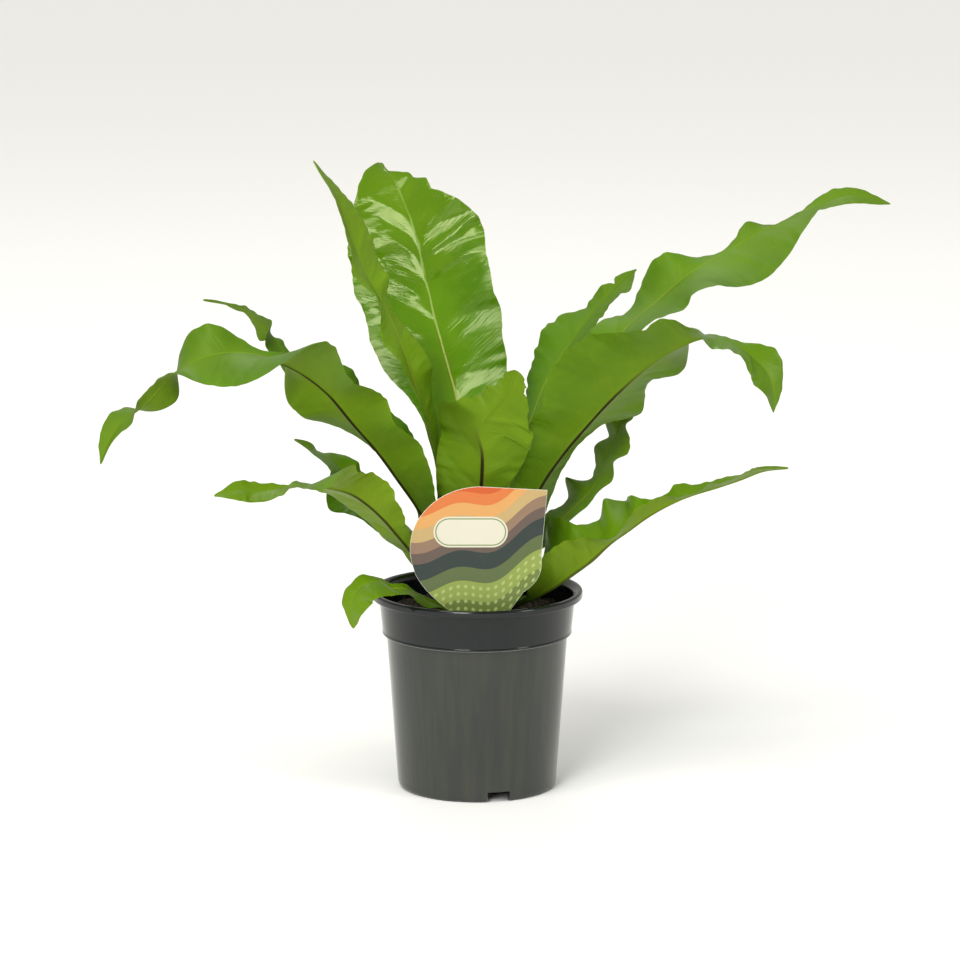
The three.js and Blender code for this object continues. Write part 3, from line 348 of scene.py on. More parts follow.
# heading: the way a frond grows, in degrees round from +X; tint, crease, ribDark, ragged, gloss: how young,
# folded, dark in the rib, uneven at the margin and shiny it is; spine: its midrib; left and right: its half
# widths, and how many degrees each half leans up, at even steps from the crown to the tip, all fitted to the
# outlines in the photo; folds: place along the midrib, width, height, slant; teeth: place, reach, width
fronds = {
    "frond_back_tall": {
        "heading": 98, "tint": 0.3, "crease": 1.0, "ribDark": 0.8, "ragged": 0.9, "gloss": 1.35,
        "spine": [(-0.9, 4.4, 104), (-1.2, 8.3, 122.9), (-1.6, 12.2, 141.8), (-3.1, 16.6, 160.6),
            (-6, 21.7, 179), (-7.9, 27.6, 197.2), (-11.3, 34.2, 215.1), (-15.8, 40.6, 232.8),
            (-21, 46.9, 250.2), (-25.7, 53.6, 267.8), (-29.8, 59.9, 285.5), (-34, 65.5, 303.5),
            (-39.8, 72.4, 320.6), (-47.2, 82.2, 335.4), (-55.9, 97, 344.2)],
        "left": [1.6, 3, 4.5, 6, 7.5, 12, 15.5, 15, 15, 16.5, 18, 19.5, 21.5, 24, 27.5, 32, 35.5, 37.5, 39,
            38.5, 39, 41.5, 41.5, 40.5, 40.5, 38.5, 35, 31, 24, 15.5, 4],
        "right": [1.6, 3, 4.5, 6, 3, 2, 2.5, 5, 8, 10.5, 14.5, 19, 24, 28, 32, 34.5, 35.5, 37.5, 38.5, 38,
            38.5, 38.5, 38.5, 38.5, 37, 31, 21.5, 15.5, 8, 1.5, 2],
        "leftLean": [11, 12, 14, 18, 21, 11, 12, 13, 14, 10, 6, 5, 5, 4, 3, -1, -3, -3, -4, -5, -6, -7, -9,
            -11, -8, -10, -11, -8, -6, 6, 36],
        "rightLean": [12, 12, 12, 13, 15, 17, 17, 18, 19, 22, 23, 23, 23, 23, 23, 26, 29, 27, 27, 33, 32,
            32, 31, 22, 24, 31, 38, 30, 24, 26, 29],
        "folds": {
            "right": [(60, 4, 0.5, 0.4), (80, 4, 0.6, 0.4), (100, 5, 0.8, 0.4), (118, 4, -0.4, 0.3),
                (133, 3, 0.8, 0.25), (147, 3, 0.5, 0.5), (160, 5, 0.3, 0.45), (176, 4, -0.4, 0.4),
                (189.5, 2.2, 2.2, 0.34), (203, 2, 2.4, 0.36), (216, 3, 1, 0.4), (232, 4, 0.8, 0.5),
                (245, 3, -0.6, 0.5)],
            "left": [(62, 4, 0.17, 0.6), (85, 4, 0.21, 0.7), (104, 4, 0.24, 0.8), (122, 2.5, 0.42, 1.2),
                (135, 3.5, -0.24, 0.9), (150, 4, 0.9, 0.9), (165, 3.5, -0.8, 0.9), (178, 2.5, 1.4, 0.8),
                (190, 4, -0.8, 1), (202, 3, 1.1, 1.1), (213, 3.5, -0.9, 1.2), (226, 3, 1, 1.2)],
        },
        "teeth": {
            "right": [(262, -2, 3), (252.4, 2, 1.6), (247.6, -1.6, 1.6), (243, 2.2, 1.5), (236, -1.8, 2.5)],
        },
    },
    "frond_left_narrow": {
        "heading": 182, "tint": 1.2, "crease": 0.75, "ribDark": 0.6, "gloss": 0.4,
        "spine": [(-4.3, 1.2, 104), (-7.9, 0.7, 123.3), (-11.6, 0.3, 142.7), (-15.4, -0.3, 161.9),
            (-19.9, -1.2, 181.1), (-24.7, -2.5, 200.1), (-30.2, -4.2, 218.8), (-36.6, -6.1, 237.4),
            (-42.6, -8.2, 256), (-49.6, -10.3, 274.2), (-59.2, -12.5, 291.3), (-66.9, -14.6, 309.2),
            (-73.9, -16.4, 327.5), (-80.8, -18.2, 345.9), (-91.1, -20, 362.5)],
        "left": [1.6, 3.5, 4.5, 6, 8, 8, 8, 8.5, 8.5, 9, 10.5, 9.5, 10.5, 12, 13.5, 14.5, 15, 16, 16, 15,
            13.5, 12.5, 12.5, 12, 9.5, 8, 6.5, 5, 4, 3, 1],
        "right": [1.6, 3.5, 4.5, 6, 7.5, 8.5, 9, 10, 11, 12, 12.5, 13, 14, 15, 16.5, 16.5, 15, 13, 10.5, 9,
            10, 13.5, 15, 16, 16, 15, 13, 10, 6.5, 3, 1],
        "leftLean": [0, -2, -3, -3, -1, -2, -14, -13, -13, -11, -4, 0, 1, -1, -2, -4, -7, -15, -29, -26,
            -10, 0, -18, -27, -15, -10, -5, -6, -10, -17, -17],
        "rightLean": [20, 23, 25, 25, 21, 13, 11, 12, 12, 11, 15, 21, 25, 26, 35, 51, 47, 42, 30, 20, 23,
            49, 38, 38, 43, 41, 39, 32, 23, 15, 20],
    },
    "frond_left_arching": {
        "heading": 198, "tint": 0.5, "crease": 0.8, "ribDark": 1.0, "gloss": -0.2,
        "spine": [(-7.5, -2.7, 102), (-14.5, -7.6, 123.4), (-22.1, -12.7, 144.6), (-32.7, -18.5, 164.2),
            (-44.5, -25.2, 182.8), (-56.8, -31.7, 201.2), (-70.6, -37.9, 218.6), (-84.3, -43.3, 236.3),
            (-102, -48.5, 249.9), (-122.2, -54.7, 258.8), (-144.5, -60.2, 260), (-165.3, -64, 251.7),
            (-181.2, -67.1, 235.5), (-198.4, -69.4, 220.5), (-208.3, -72, 200.2)],
        "left": [1.6, 3.5, 5, 6, 6, 8.5, 12.5, 17, 21.5, 24.5, 26, 27, 26.5, 27, 28, 29.5, 34.5, 44.5, 47.5,
            42.5, 37, 31, 25, 19, 14.5, 8.5, 8, 10.5, 7.5, 3.5, 1],
        "right": [1.6, 3.5, 5, 7, 11, 12, 7.5, 4, 3.5, 8, 12.5, 16.5, 20, 23, 23.5, 22.5, 21, 21, 8.5, 5,
            10, 17, 20, 18.5, 18, 15.5, 12, 12, 9.5, 6, 1],
        "leftLean": [27, 28, 28, 25, 20, 25, 30, 35, 41, 46, 51, 42, 39, 55, 45, 28, 32, 35, 29, 8, -10,
            -22, -27, -18, 26, 48, 50, -1, -3, 6, 4],
        "rightLean": [7, 4, 0, -9, -20, -19, -5, -5, -2, 10, 4, -3, -11, -24, -45, -54, -54, 1, 36, 34, 42,
            58, 45, 11, -34, -64, -47, 13, 39, 46, 53],
    },
    "frond_left_rear": {
        "heading": 163, "tint": 0.3, "crease": 0.5, "ribDark": 0.7, "ragged": 1.5, "gloss": -0.7,
        "spine": [(-7.1, 3.8, 102), (-10.3, 6.3, 121.9), (-17.3, 10.1, 140.5), (-28, 15.1, 157),
            (-39.7, 20.2, 172.8), (-51.7, 25.5, 188.3), (-64.1, 30.9, 203.5), (-79.6, 36.6, 214.9),
            (-94.7, 41.6, 227.7), (-109.2, 46.6, 240.9), (-121.6, 52, 256), (-137.9, 57.3, 266.5),
            (-157.4, 62, 270)],
        "left": [1.6, 3, 4.5, 6, 6, 6, 6, 6.5, 7, 7, 7.5, 8, 8.5, 8.5, 9, 11, 12.5, 15, 19.5, 17, 13.5, 9,
            9.5, 14.5, 12.5, 9.5, 5, 3.5, 1],
        "right": [1.6, 3, 4.5, 6, 7.5, 8.5, 9, 9.5, 12, 15.5, 18.5, 20, 21, 20.5, 20, 20, 21, 22, 19.5, 15,
            8.5, 4, 6.5, 13.5, 10, 6.5, 6, 4.5, 1],
        "leftLean": [0, 0, 0, 0, 2, 6, 12, 10, -18, -11, -7, -5, -7, -9, -11, -11, -11, -10, -10, -11, -14,
            -19, -24, 39, 33, 37, 21, 27, 37],
        "rightLean": [20, 21, 23, 24, 25, 24, 20, 14, 23, 33, 37, 40, 42, 39, 30, 23, 29, 45, 47, 44, 37,
            22, 11, -52, -44, -25, -30, -3, 20],
    },
    "frond_left_low": {
        "heading": 208, "tint": 0.9, "crease": 1.0, "ribDark": 0.9, "ragged": 2.0, "gloss": 0.2,
        "spine": [(-10.5, -5, 100), (-16, -11.5, 111.1), (-21.7, -17.9, 122.2), (-29, -23.3, 132.8),
            (-37.7, -27.8, 142.8), (-45.4, -32.9, 153.2), (-53.2, -38.4, 163.4), (-62, -44.3, 172.6),
            (-71.9, -50.6, 180.2), (-83.2, -57.4, 184.4), (-94.7, -64.8, 187.3), (-107.1, -71.1, 186.7),
            (-119.9, -76.4, 185.9), (-132.6, -82.1, 187.9), (-145, -88, 185.8)],
        "left": [1.6, 3, 4.5, 6, 7.5, 12, 12, 8.5, 9, 12.5, 15.5, 19.5, 20.5, 23.5, 28.5, 34, 24, 12.5, 9.5,
            10, 10, 7, 1],
        "right": [1.6, 3, 4.5, 6, 7.5, 12, 14, 15, 15.5, 17.5, 22.5, 28, 33.5, 38, 36, 22, 8, 3.5, 5, 6, 7,
            3, 1],
        "leftLean": [27, 29, 30, 30, 36, 43, 39, 35, 36, 44, 40, 50, 50, 39, 33, 34, 6, 15, -9, -23, -30,
            -30, -16],
        "rightLean": [8, 2, -7, -21, -21, -13, -3, -13, -14, -13, -10, -6, -5, -5, -4, -5, 5, 23, 41, 45,
            49, 43, 38],
        "teeth": {
            "right": [(150, -1.5, 1.5), (128, 1.2, 1.5)],
            "left": [(120, 1.2, 1.6), (133, -1.4, 1.6), (158, 1, 1.2)],
        },
    },
    "frond_left_short": {
        "heading": 170, "tint": 0.35, "crease": 0.6, "ribDark": 0.6,
        "spine": [(-11.5, 0.4, 100), (-14.5, 3.8, 113.4), (-19.2, 7.2, 126.3), (-28.4, 10.6, 136.5),
            (-39.2, 13.9, 145), (-50.5, 17, 153.1), (-61.5, 19.7, 161.7), (-71.8, 22.1, 171),
            (-80.8, 24, 181.8), (-92.7, 22, 189.2), (-104.2, 24, 196)],
        "left": [1.6, 3, 4.5, 6, 7.5, 11.5, 16, 20.5, 25, 25.5, 25, 24.5, 19, 12.5, 8, 4, 1],
        "right": [1.6, 3, 4.5, 6, 7.5, 10.5, 11, 11.5, 11, 10.5, 10.5, 10, 12, 10.5, 7, 5.5, 1],
        "leftLean": [2, -7, -20, -30, -23, -18, -15, -11, -8, -8, -17, -33, -14, -8, -2, 6, 13],
        "rightLean": [24, 21, 13, -3, -7, -5, -10, -6, 12, 24, 33, 35, 42, 13, -6, 21, 24],
    },
    "frond_over_rim": {
        "heading": 218, "tint": 0.95, "crease": 0.5, "ribDark": 0.3, "gloss": 0.5,
        "spine": [(-4.5, -11, 100), (-12.7, -14.9, 103.8), (-20.8, -18.8, 107.6), (-28.5, -23.2, 111.7),
            (-34.7, -28.8, 116.8), (-40.9, -34.5, 121.5), (-48.4, -40.5, 123.1), (-53.9, -46.9, 128.1),
            (-61.6, -52.6, 128.6), (-68.6, -56, 123.2), (-69.9, -57.4, 113.7), (-69, -58, 104)],
        "left": [1.6, 3, 4.5, 5.5, 6.5, 6.5, 5.5, 8, 11.5, 15.5, 18.5, 18.5, 14.5, 8, 1],
        "right": [1.6, 3, 4.5, 4.5, 4.5, 3.5, 4, 3.5, 5, 5.5, 7.5, 6.5, 6.5, 4, 1],
        "leftLean": [-31, -22, -11, -9, -29, -37, -27, -14, -7, -17, -11, 1, -8, -2, -13],
        "rightLean": [52, 50, 45, 39, 40, 37, 50, 47, 40, 24, 31, 21, 23, 21, 28],
    },
    "frond_front_upright": {
        "heading": 275, "tint": 0.5, "crease": 0.8, "ribDark": 1.12, "ragged": 2.2,
        "spine": [(0.4, -4.5, 104), (0.7, -9.1, 117.6), (1, -13.7, 131.3), (1.3, -18.3, 144.9),
            (1.6, -22.9, 158.6), (1.9, -27.5, 172.2), (2.8, -31.1, 185.3), (2.9, -34, 199.3),
            (0.8, -37.7, 213), (7.9, -42.2, 224.4), (16.3, -45.5, 235.5), (22.3, -47, 248.5)],
        "left": [1.6, 3, 4.5, 6, 7.5, 12, 11.5, 12.5, 13, 15, 19.5, 24.5, 29, 30, 30.5, 26, 16.5, 9.5, 5],
        "right": [1.6, 3, 4.5, 6, 7.5, 15.5, 22.5, 24.5, 26.5, 28.5, 31, 34, 35, 32, 19, 12, 10, 7.5, 4.5],
        "leftLean": [6, 5, 4, 4, 4, 4, 5, 3, 4, 5, 4, 4, -1, -6, -9, -6, -5, -6, -7],
        "rightLean": [22, 23, 23, 24, 24, 25, 26, 27, 30, 35, 42, 52, 58, 54, 18, 34, 35, 41, 65],
        "teeth": {
            "right": [(119, -4.5, 1.6), (126, 2.8, 1.6), (131, -3.4, 1.6), (138, 1.8, 1.2), (143, -2, 1.2),
                (149.5, -2, 0.9), (152.6, 1.8, 0.8)],
            "left": [(135, -1.2, 1.2), (141, 1.2, 1.2), (147, -2, 1.1), (150.5, 1.8, 0.8),
                (153, -1.6, 0.8)],
        },
    },
    "frond_right_arching": {
        "heading": -20, "tint": 0.35, "crease": 0.9, "ribDark": 1.0, "ragged": 1.3, "gloss": 0.5,
        "spine": [(6.6, -4.6, 102), (13.4, -5.1, 121.1), (21, -5.9, 139.9), (28.4, -8.1, 158.7),
            (36.6, -11.8, 176.9), (46.9, -17.1, 193.6), (58.4, -23.6, 209), (70, -31.2, 223.9),
            (81.7, -40.3, 237.6), (94.8, -48.5, 250.8), (110.7, -53.2, 262.4), (129.3, -57.3, 269.1),
            (147.4, -60.7, 262), (161.4, -63.1, 247.8), (164.1, -64, 227.8)],
        "left": [1.6, 2.5, 3.5, 4.5, 6.5, 11, 16, 16.5, 16, 15, 15, 16, 18.5, 22, 27.5, 30.5, 27, 19.5, 16,
            21, 28.5, 35.5, 28, 17.5, 10, 7, 10, 13, 9.5, 5.5, 1],
        "right": [1.6, 2.5, 3.5, 4.5, 6.5, 11, 11.5, 14, 17, 20, 22.5, 25.5, 30.5, 34, 37, 40, 42, 42.5, 42,
            40, 34.5, 29.5, 27, 23, 20, 17.5, 16, 15.5, 13, 7, 1],
        "leftLean": [6, 3, 0, -4, -9, -15, -19, -17, -15, -10, -8, -3, -4, -7, -17, -25, -19, -20, -21, -27,
            -22, -2, 16, 1, 1, 7, 29, 50, 41, 39, 41],
        "rightLean": [26, 30, 33, 35, 35, 31, 27, 34, 39, 43, 41, 40, 51, 45, 41, 48, 55, 58, 57, 56, 46,
            39, 46, 24, -3, 7, 5, -11, -22, -9, -12],
    },
    "frond_right_long": {
        "heading": 16, "tint": 0.55, "crease": 0.7, "ribDark": 0.4, "gloss": -0.4, "ragged": 1.4,
        "spine": [(9, 2.8, 102), (13.8, 2.2, 127.3), (19.8, 2, 152.4), (28.5, 2.6, 176.7),
            (40.3, 5.1, 199.5), (54.5, 9.5, 220.6), (69.5, 14.5, 241), (84.8, 19.7, 261.1),
            (102.6, 27.7, 275.4), (122.1, 35.6, 290.3), (143.5, 44.5, 301.5), (165.3, 52.4, 312.6),
            (188.7, 58, 321.6), (212.2, 63, 330.3), (236.9, 67, 324.6)],
        "left": [1.6, 3, 4.5, 6, 8, 8, 8, 9, 10, 10.5, 11.5, 12.5, 13.5, 17.5, 21.5, 22.5, 22, 22.5, 22.5,
            19, 9.5, 3.5, 5.5, 10, 6.5, 5, 6, 7, 6, 4.5, 1],
        "right": [1.6, 3, 4.5, 6, 8, 8, 8, 9, 10, 10.5, 11.5, 12.5, 13.5, 17.5, 26.5, 36, 38.5, 40.5, 41.5,
            40.5, 37.5, 36, 34, 30.5, 26, 20, 14.5, 11.5, 9.5, 6, 1],
        "leftLean": [18, 19, 19, 18, 15, 11, 14, 26, 24, 20, 20, 22, 24, 26, 28, 14, 0, 10, 34, 52, 26, 11,
            29, 46, -9, -5, 19, 38, 40, 39, 39],
        "rightLean": [17, 17, 18, 21, 29, 35, 5, -2, 8, 8, 9, 6, 3, 3, 3, 12, 9, 4, 9, 2, -12, -20, -24,
            -23, -20, -7, 8, -6, -21, -28, -27],
    },
    "frond_right_rear": {
        "heading": 52, "tint": 0.3, "crease": 0.9, "ribDark": 0.4, "ragged": 1.5, "gloss": -0.8,
        "spine": [(4.2, 3.8, 104), (7.7, 10.8, 125.5), (12.1, 18.5, 146.6), (18.2, 27.8, 166.6),
            (25, 37.6, 186.1), (32, 47.7, 205.4), (40.1, 58.2, 223.9), (51.1, 71, 239.3), (63.2, 84.7, 253),
            (77.1, 95.6, 267.4), (92.7, 106, 280.6)],
        "left": [1.6, 2.5, 3.5, 4.5, 5.5, 9.5, 14, 13.5, 10.5, 6.5, 3.5, 6, 9.5, 12.5, 15, 16.5, 18, 19,
            19.5, 20, 18, 14.5, 10, 10, 7, 4.5, 1],
        "right": [1.6, 2.5, 3.5, 4.5, 5.5, 9.5, 14, 18, 22.5, 26.5, 29, 31, 32.5, 33, 33, 32, 30, 27, 23.5,
            20, 19.5, 19.5, 19, 18, 15.5, 8.5, 1],
        "leftLean": [6, 5, 4, 4, 3, 3, 3, 0, -11, -35, -49, -50, -41, -35, -28, -19, -9, -4, 5, 20, 16, 11,
            -6, 1, 24, 25, 27],
        "rightLean": [22, 23, 24, 25, 26, 27, 28, 28, 26, 24, 26, 28, 28, 28, 26, 24, 23, 21, 23, 30, 30,
            31, 33, 30, 19, 19, 39],
        "teeth": {
            "left": [(213, -5, 1.1), (217, 1.2, 1.5)],
            "right": [(209, 1.4, 1.2), (200, -1.4, 1.5)],
        },
    },
    "frond_right_ruffled": {
        "heading": 26, "tint": 0.85, "crease": 0.7, "ribDark": 0.6, "gloss": -1.0,
        "spine": [(9.8, 6.4, 100), (14.9, 7.4, 111.9), (20.4, 8.7, 123.6), (28.2, 11.7, 133.5),
            (37.5, 15.9, 141.6), (47.2, 20.3, 149), (56.5, 24.4, 157.1), (65.5, 28.1, 165.7),
            (71.4, 32.3, 176.5), (76.7, 36.3, 187.7), (81.7, 39.4, 199.3), (87.8, 42, 210.4)],
        "left": [1.6, 3, 4.5, 6, 7, 6, 8, 11.5, 18, 22.5, 21.5, 16.5, 16.5, 20.5, 20, 17, 10.5],
        "right": [1.6, 3, 4.5, 6, 7.5, 12, 13, 11, 9, 9, 12, 17.5, 23, 24, 19.5, 11.5, 1.5],
        "leftLean": [19, 21, 20, 14, 2, -2, 16, 22, -1, -8, 24, -13, -11, 0, -14, 24, 63],
        "rightLean": [18, 16, 14, 11, 7, 0, 5, 7, 3, -4, 11, 5, 21, 8, 8, 18, -42],
    },
    "frond_right_low": {
        "heading": -14, "tint": 0.8, "crease": 0.9, "ribDark": 0.6, "ragged": 1.6,
        "spine": [(11.3, -2, 100), (21.4, -9.6, 106.3), (32.3, -16.1, 112.5), (43.7, -20.2, 119.8),
            (54.4, -24.2, 128.1), (64.7, -28.5, 136.9), (74, -32.2, 146.7), (84.9, -34.6, 155.3),
            (95.9, -36.9, 163.9), (107.8, -39.1, 171.2), (120.5, -41.1, 177), (133.8, -42.8, 181.5),
            (147, -44.3, 186.3), (159.8, -45.7, 191.5), (173.8, -47, 193.4)],
        "left": [1.6, 3, 4.5, 6, 19, 33.5, 39.5, 33.5, 25, 26, 35, 33, 22, 11, 9, 11, 7, 7, 6.5, 5, 4.5,
            2.5, 1],
        "right": [1.6, 3, 4.5, 6, 17.5, 21.5, 23.5, 23, 20.5, 16.5, 11.5, 10.5, 11, 10.5, 8.5, 7.5, 7.5, 10,
            11, 11, 9.5, 5.5, 1],
        "leftLean": [42, 42, 39, 29, 42, 52, 58, 62, 56, 35, 41, 28, 42, 41, 38, 49, 35, 33, 30, 25, 36, 35,
            37],
        "rightLean": [24, 26, 28, 32, 45, 50, 54, 58, 60, 50, 15, 18, 36, 48, 45, 18, 10, 20, 17, 20, 22,
            16, 26],
    },
    "frond_back_low": {
        "heading": 80, "tint": 0.4, "crease": 0.6, "ribDark": 0.6, "gloss": 0,
        "spine": [(3, 11.1, 100), (8, 30, 148), (13, 58, 184), (20, 92, 200), (25, 126, 190),
            (28, 150, 166)],
        "left": [1.6, 3.5, 5, 6.5, 9, 11, 12.5, 14, 16, 18, 20, 22, 21.5, 20.5, 19, 17, 14.5, 12, 9, 5.5,
            1],
        "right": [1.6, 3.5, 5, 6.5, 9, 11, 12.5, 14, 16, 18, 20, 22, 23.5, 21.5, 20, 18, 15, 12, 8, 4.5, 1],
        "leftLean": [16, 17, 18, 19, 20, 28, 21, 7, 20, 32, 16, 2, 12, 24, 11, -3, 12, 31, 14, 7, 16],
        "rightLean": [16, 15, 14, 13, 15, 8, 1, 17, 26, 8, 4, 23, 30, 16, 9, 27, 35, 11, 3, 20, 16],
    },
    "frond_back_leaning": {
        "heading": 112, "tint": 0.45, "crease": 0.6, "ribDark": 0.6, "gloss": -0.3,
        "spine": [(-2.6, 8.1, 102), (-12, 28, 156), (-21, 53, 205), (-31, 84, 243), (-42, 116, 262),
            (-50, 146, 258), (-55, 168, 240)],
        "left": [1.6, 4, 6, 8.5, 9.5, 10, 10.5, 12, 14.5, 17.5, 20, 21, 22, 23, 23, 21, 19, 16, 11.5, 6.5,
            1],
        "right": [1.6, 4, 6, 8.5, 9.5, 10, 10.5, 12, 14.5, 17.5, 20, 21, 22, 23, 23.5, 22, 19.5, 15.5, 10.5,
            6, 1],
        "leftLean": [16, 15, 14, 13, 15, 15, 2, 3, 26, 22, 5, 11, 30, 27, 11, 14, 32, 28, 2, 12, 16],
        "rightLean": [16, 17, 18, 19, 21, 14, 20, 36, 22, 4, 14, 26, 14, 0, 9, 23, 14, -2, 11, 23, 16],
    },
}


def curveAlong(values, t):
    # a smooth curve through evenly spaced values
    values = np.asarray(values, float)
    last = len(values) - 1
    spot = np.clip(t * last, 0, last - 1e-9)
    i = np.floor(spot).astype(int)
    f = spot - i
    if values.ndim == 2:
        f = f[:, None]
    longer = np.concatenate([[2 * values[0] - values[1]], values, [2 * values[-1] - values[-2]]])
    p0, p1, p2, p3 = longer[i], longer[i + 1], longer[i + 2], longer[i + 3]
    cubic, square = 3 * p1 - p0 - 3 * p2 + p3, 2 * p0 - 5 * p1 + 4 * p2 - p3
    return 0.5 * (2 * p1 + (p2 - p0) * f + square * f * f + cubic * f * f * f)


def unit(vectors):
    return vectors / np.linalg.norm(vectors, axis=-1, keepdims=True)


def ramp(values, start, span):
    return np.clip((values - start) / span, 0, 1)


def bladeFrame(frond, t):
    # the midrib, and at each step the directions across the blade and up from it
    spine, step = frond["spine"], frondDetail["tangentStep"]
    tangent = unit(curveAlong(spine, np.minimum(t + step, 1)) - curveAlong(spine, np.maximum(t - step, 0)))
    heading = math.radians(frond["heading"])
    level = np.array([-math.sin(heading), math.cos(heading), 0])
    across = unit(level - tangent * (tangent @ level)[:, None])
    return curveAlong(spine, t), across, np.cross(tangent, across)


def bladeMargin(frond, half, t, arc, dice):
    # half width, lean and flutter of one half at each step
    detail = frondDetail
    uneven = 0
    for wave in detail["waves"]:
        high = dice.uniform(*detail["waveHeight"])
        uneven = uneven + high * np.sin(2 * math.pi * arc / wave + dice.uniform(*detail["waveStart"]))
    ragged = frond["ragged"] * (detail["raggedBase"] + detail["raggedGrowth"] * t ** 2)
    uneven = uneven * ragged * ramp(t, 0, detail["evenBase"])
    width = np.maximum(detail["leastHalf"], curveAlong(frond[half], t))
    width = width + detail["nibble"] * uneven * ramp(width, 0, detail["nibbleWidth"])
    for spot, out, wide in frond["teeth"].get(half, []):
        width = width + out * np.exp(-np.abs(arc - spot) / wide)
    flutter = detail["flutter"] * uneven * ramp(width, 0, detail["flutterWidth"])
    blunt = ramp(t, 1 - detail["roundTip"], detail["roundTip"])
    rounding = np.sqrt(np.maximum(1 - blunt ** 2, detail["tipLeast"] ** 2))
    lean = np.radians(curveAlong(frond[half + "Lean"], t))
    return np.maximum(width, detail["leastMargin"]) * rounding, lean, flutter


def creaseList(dice, length, frond, half):
    # every fold leaves the midrib at its spot and runs outward and toward the tip
    detail, folds, spot = frondDetail, [], frondDetail["creaseStart"]
    while spot < length + detail["creaseBeyond"]:
        wide, slant = dice.uniform(*detail["creaseWidth"]), dice.uniform(*detail["creaseSlant"])
        high = frond["crease"] * dice.uniform(*detail["creaseHeight"]) * dice.choice(detail["creaseSigns"])
        folds.append((spot, wide, high, slant))
        spot += dice.uniform(*detail["creaseGap"])
    return frond["folds"][half] if frond["folds"] else folds


def bladeArrays(name, frond):
    # points of both sides, a row for each step from crown to tip, with what the attributes need
    detail = frondDetail
    dice = random.Random(name)
    t = np.linspace(0, 1, detail["rows"] + 1)
    spine, across, up = bladeFrame(frond, t)
    arc = np.concatenate([[0], np.cumsum(np.linalg.norm(np.diff(spine, axis=0), axis=1))])
    column = np.linspace(-1, 1, 2 * detail["halfColumns"] + 1)
    side = np.where(column < 0, -1.0, 1.0)
    share = np.abs(column) ** detail["columnCrowding"]
    halves = [bladeMargin(frond, half, t, arc, dice) for half in ("right", "left")]
    width, lean, flutter = [np.where(side < 0, *[v[:, None] for v in pair]) for pair in zip(*halves)]
    reach = width * share
    aside, lift = (side * np.cos(lean))[..., None], np.sin(lean)[..., None]
    out = across[:, None] * aside + up[:, None] * lift
    facing = up[:, None] * np.cos(lean)[..., None] - across[:, None] * (side * np.sin(lean))[..., None]
    relief = np.zeros_like(reach)
    for half, sign in (("right", -1), ("left", 1)):
        for spot, wide, high, slant in creaseList(dice, arc[-1], frond, half):
            away = (arc[:, None] - slant * reach - spot) / wide
            ridge = high * np.exp(1 - np.sqrt(1 + away ** 2 * detail["creaseSharpness"]))
            relief += np.where(side == sign, ridge, 0)
    t = t[:, None]
    nearTip = ramp(1 - t, 0, detail["flatTip"])
    relief = relief * ramp(reach, 0, detail["flatByRib"]) * (1 - detail["flatAtMargin"] * share ** 2)
    relief = relief * ramp(t, *detail["flatBase"]) * nearTip
    rise = relief + flutter * share ** 2 * nearTip - detail["sag"] * reach ** 2
    middle = spine[:, None] + out * reach[..., None] + facing * rise[..., None]
    normal = unit(np.cross(np.gradient(middle, axis=0), np.gradient(middle, axis=1)))
    ribHalf = detail["ribHalfAtCrown"] + (detail["ribHalfAtTip"] - detail["ribHalfAtCrown"]) * t
    rib = np.exp(-detail["ribRoundness"] * (reach / ribHalf) ** 2) * (1 - detail["ribThinning"] * t)
    upperRib = detail["ribUpper"] * rib * (1 - t) ** detail["upperRibFade"]
    upper = middle + normal * (detail["leafHalf"] + upperRib)[..., None]
    under = middle - normal * (detail["leafHalf"] + detail["ribUnder"] * rib)[..., None]
    upper[:, [0, -1]] = middle[:, [0, -1]]
    return {"t": t, "arc": arc[:, None], "signed": side * reach, "share": share, "upper": upper,
            "under": under, "tip": spine[-1]}


def pointOrder(above, below, tip):
    # the points run over the upper side, then the lower side between its margins, then the tip
    size = above.shape[2:]
    return np.concatenate([above[:-1].reshape(-1, *size), below[:-1, 1:-1].reshape(-1, *size), [tip]])


def bladeFaces(rows, columns):
    def top(i, j):
        return i * columns + j

    def bottom(i, j):
        return top(i, j) if j in (0, columns - 1) else rows * columns + i * (columns - 2) + j - 1

    faces, slots = [], []
    for i in range(rows - 1):
        for j in range(columns - 1):
            faces.append((top(i, j), top(i + 1, j), top(i + 1, j + 1), top(i, j + 1)))
            faces.append((bottom(i, j), bottom(i, j + 1), bottom(i + 1, j + 1), bottom(i + 1, j)))
            slots += [0, 1]
    tip = bottom(rows, 1)
    for j in range(columns - 1):
        faces.append((top(rows - 1, j), tip, top(rows - 1, j + 1)))
        faces.append((bottom(rows - 1, j), bottom(rows - 1, j + 1), tip))
        ring = [top(0, j), top(0, j + 1), bottom(0, j + 1), bottom(0, j)]
        faces.append(tuple(dict.fromkeys(ring)))
        slots += [0, 1, 1]
    return faces, slots


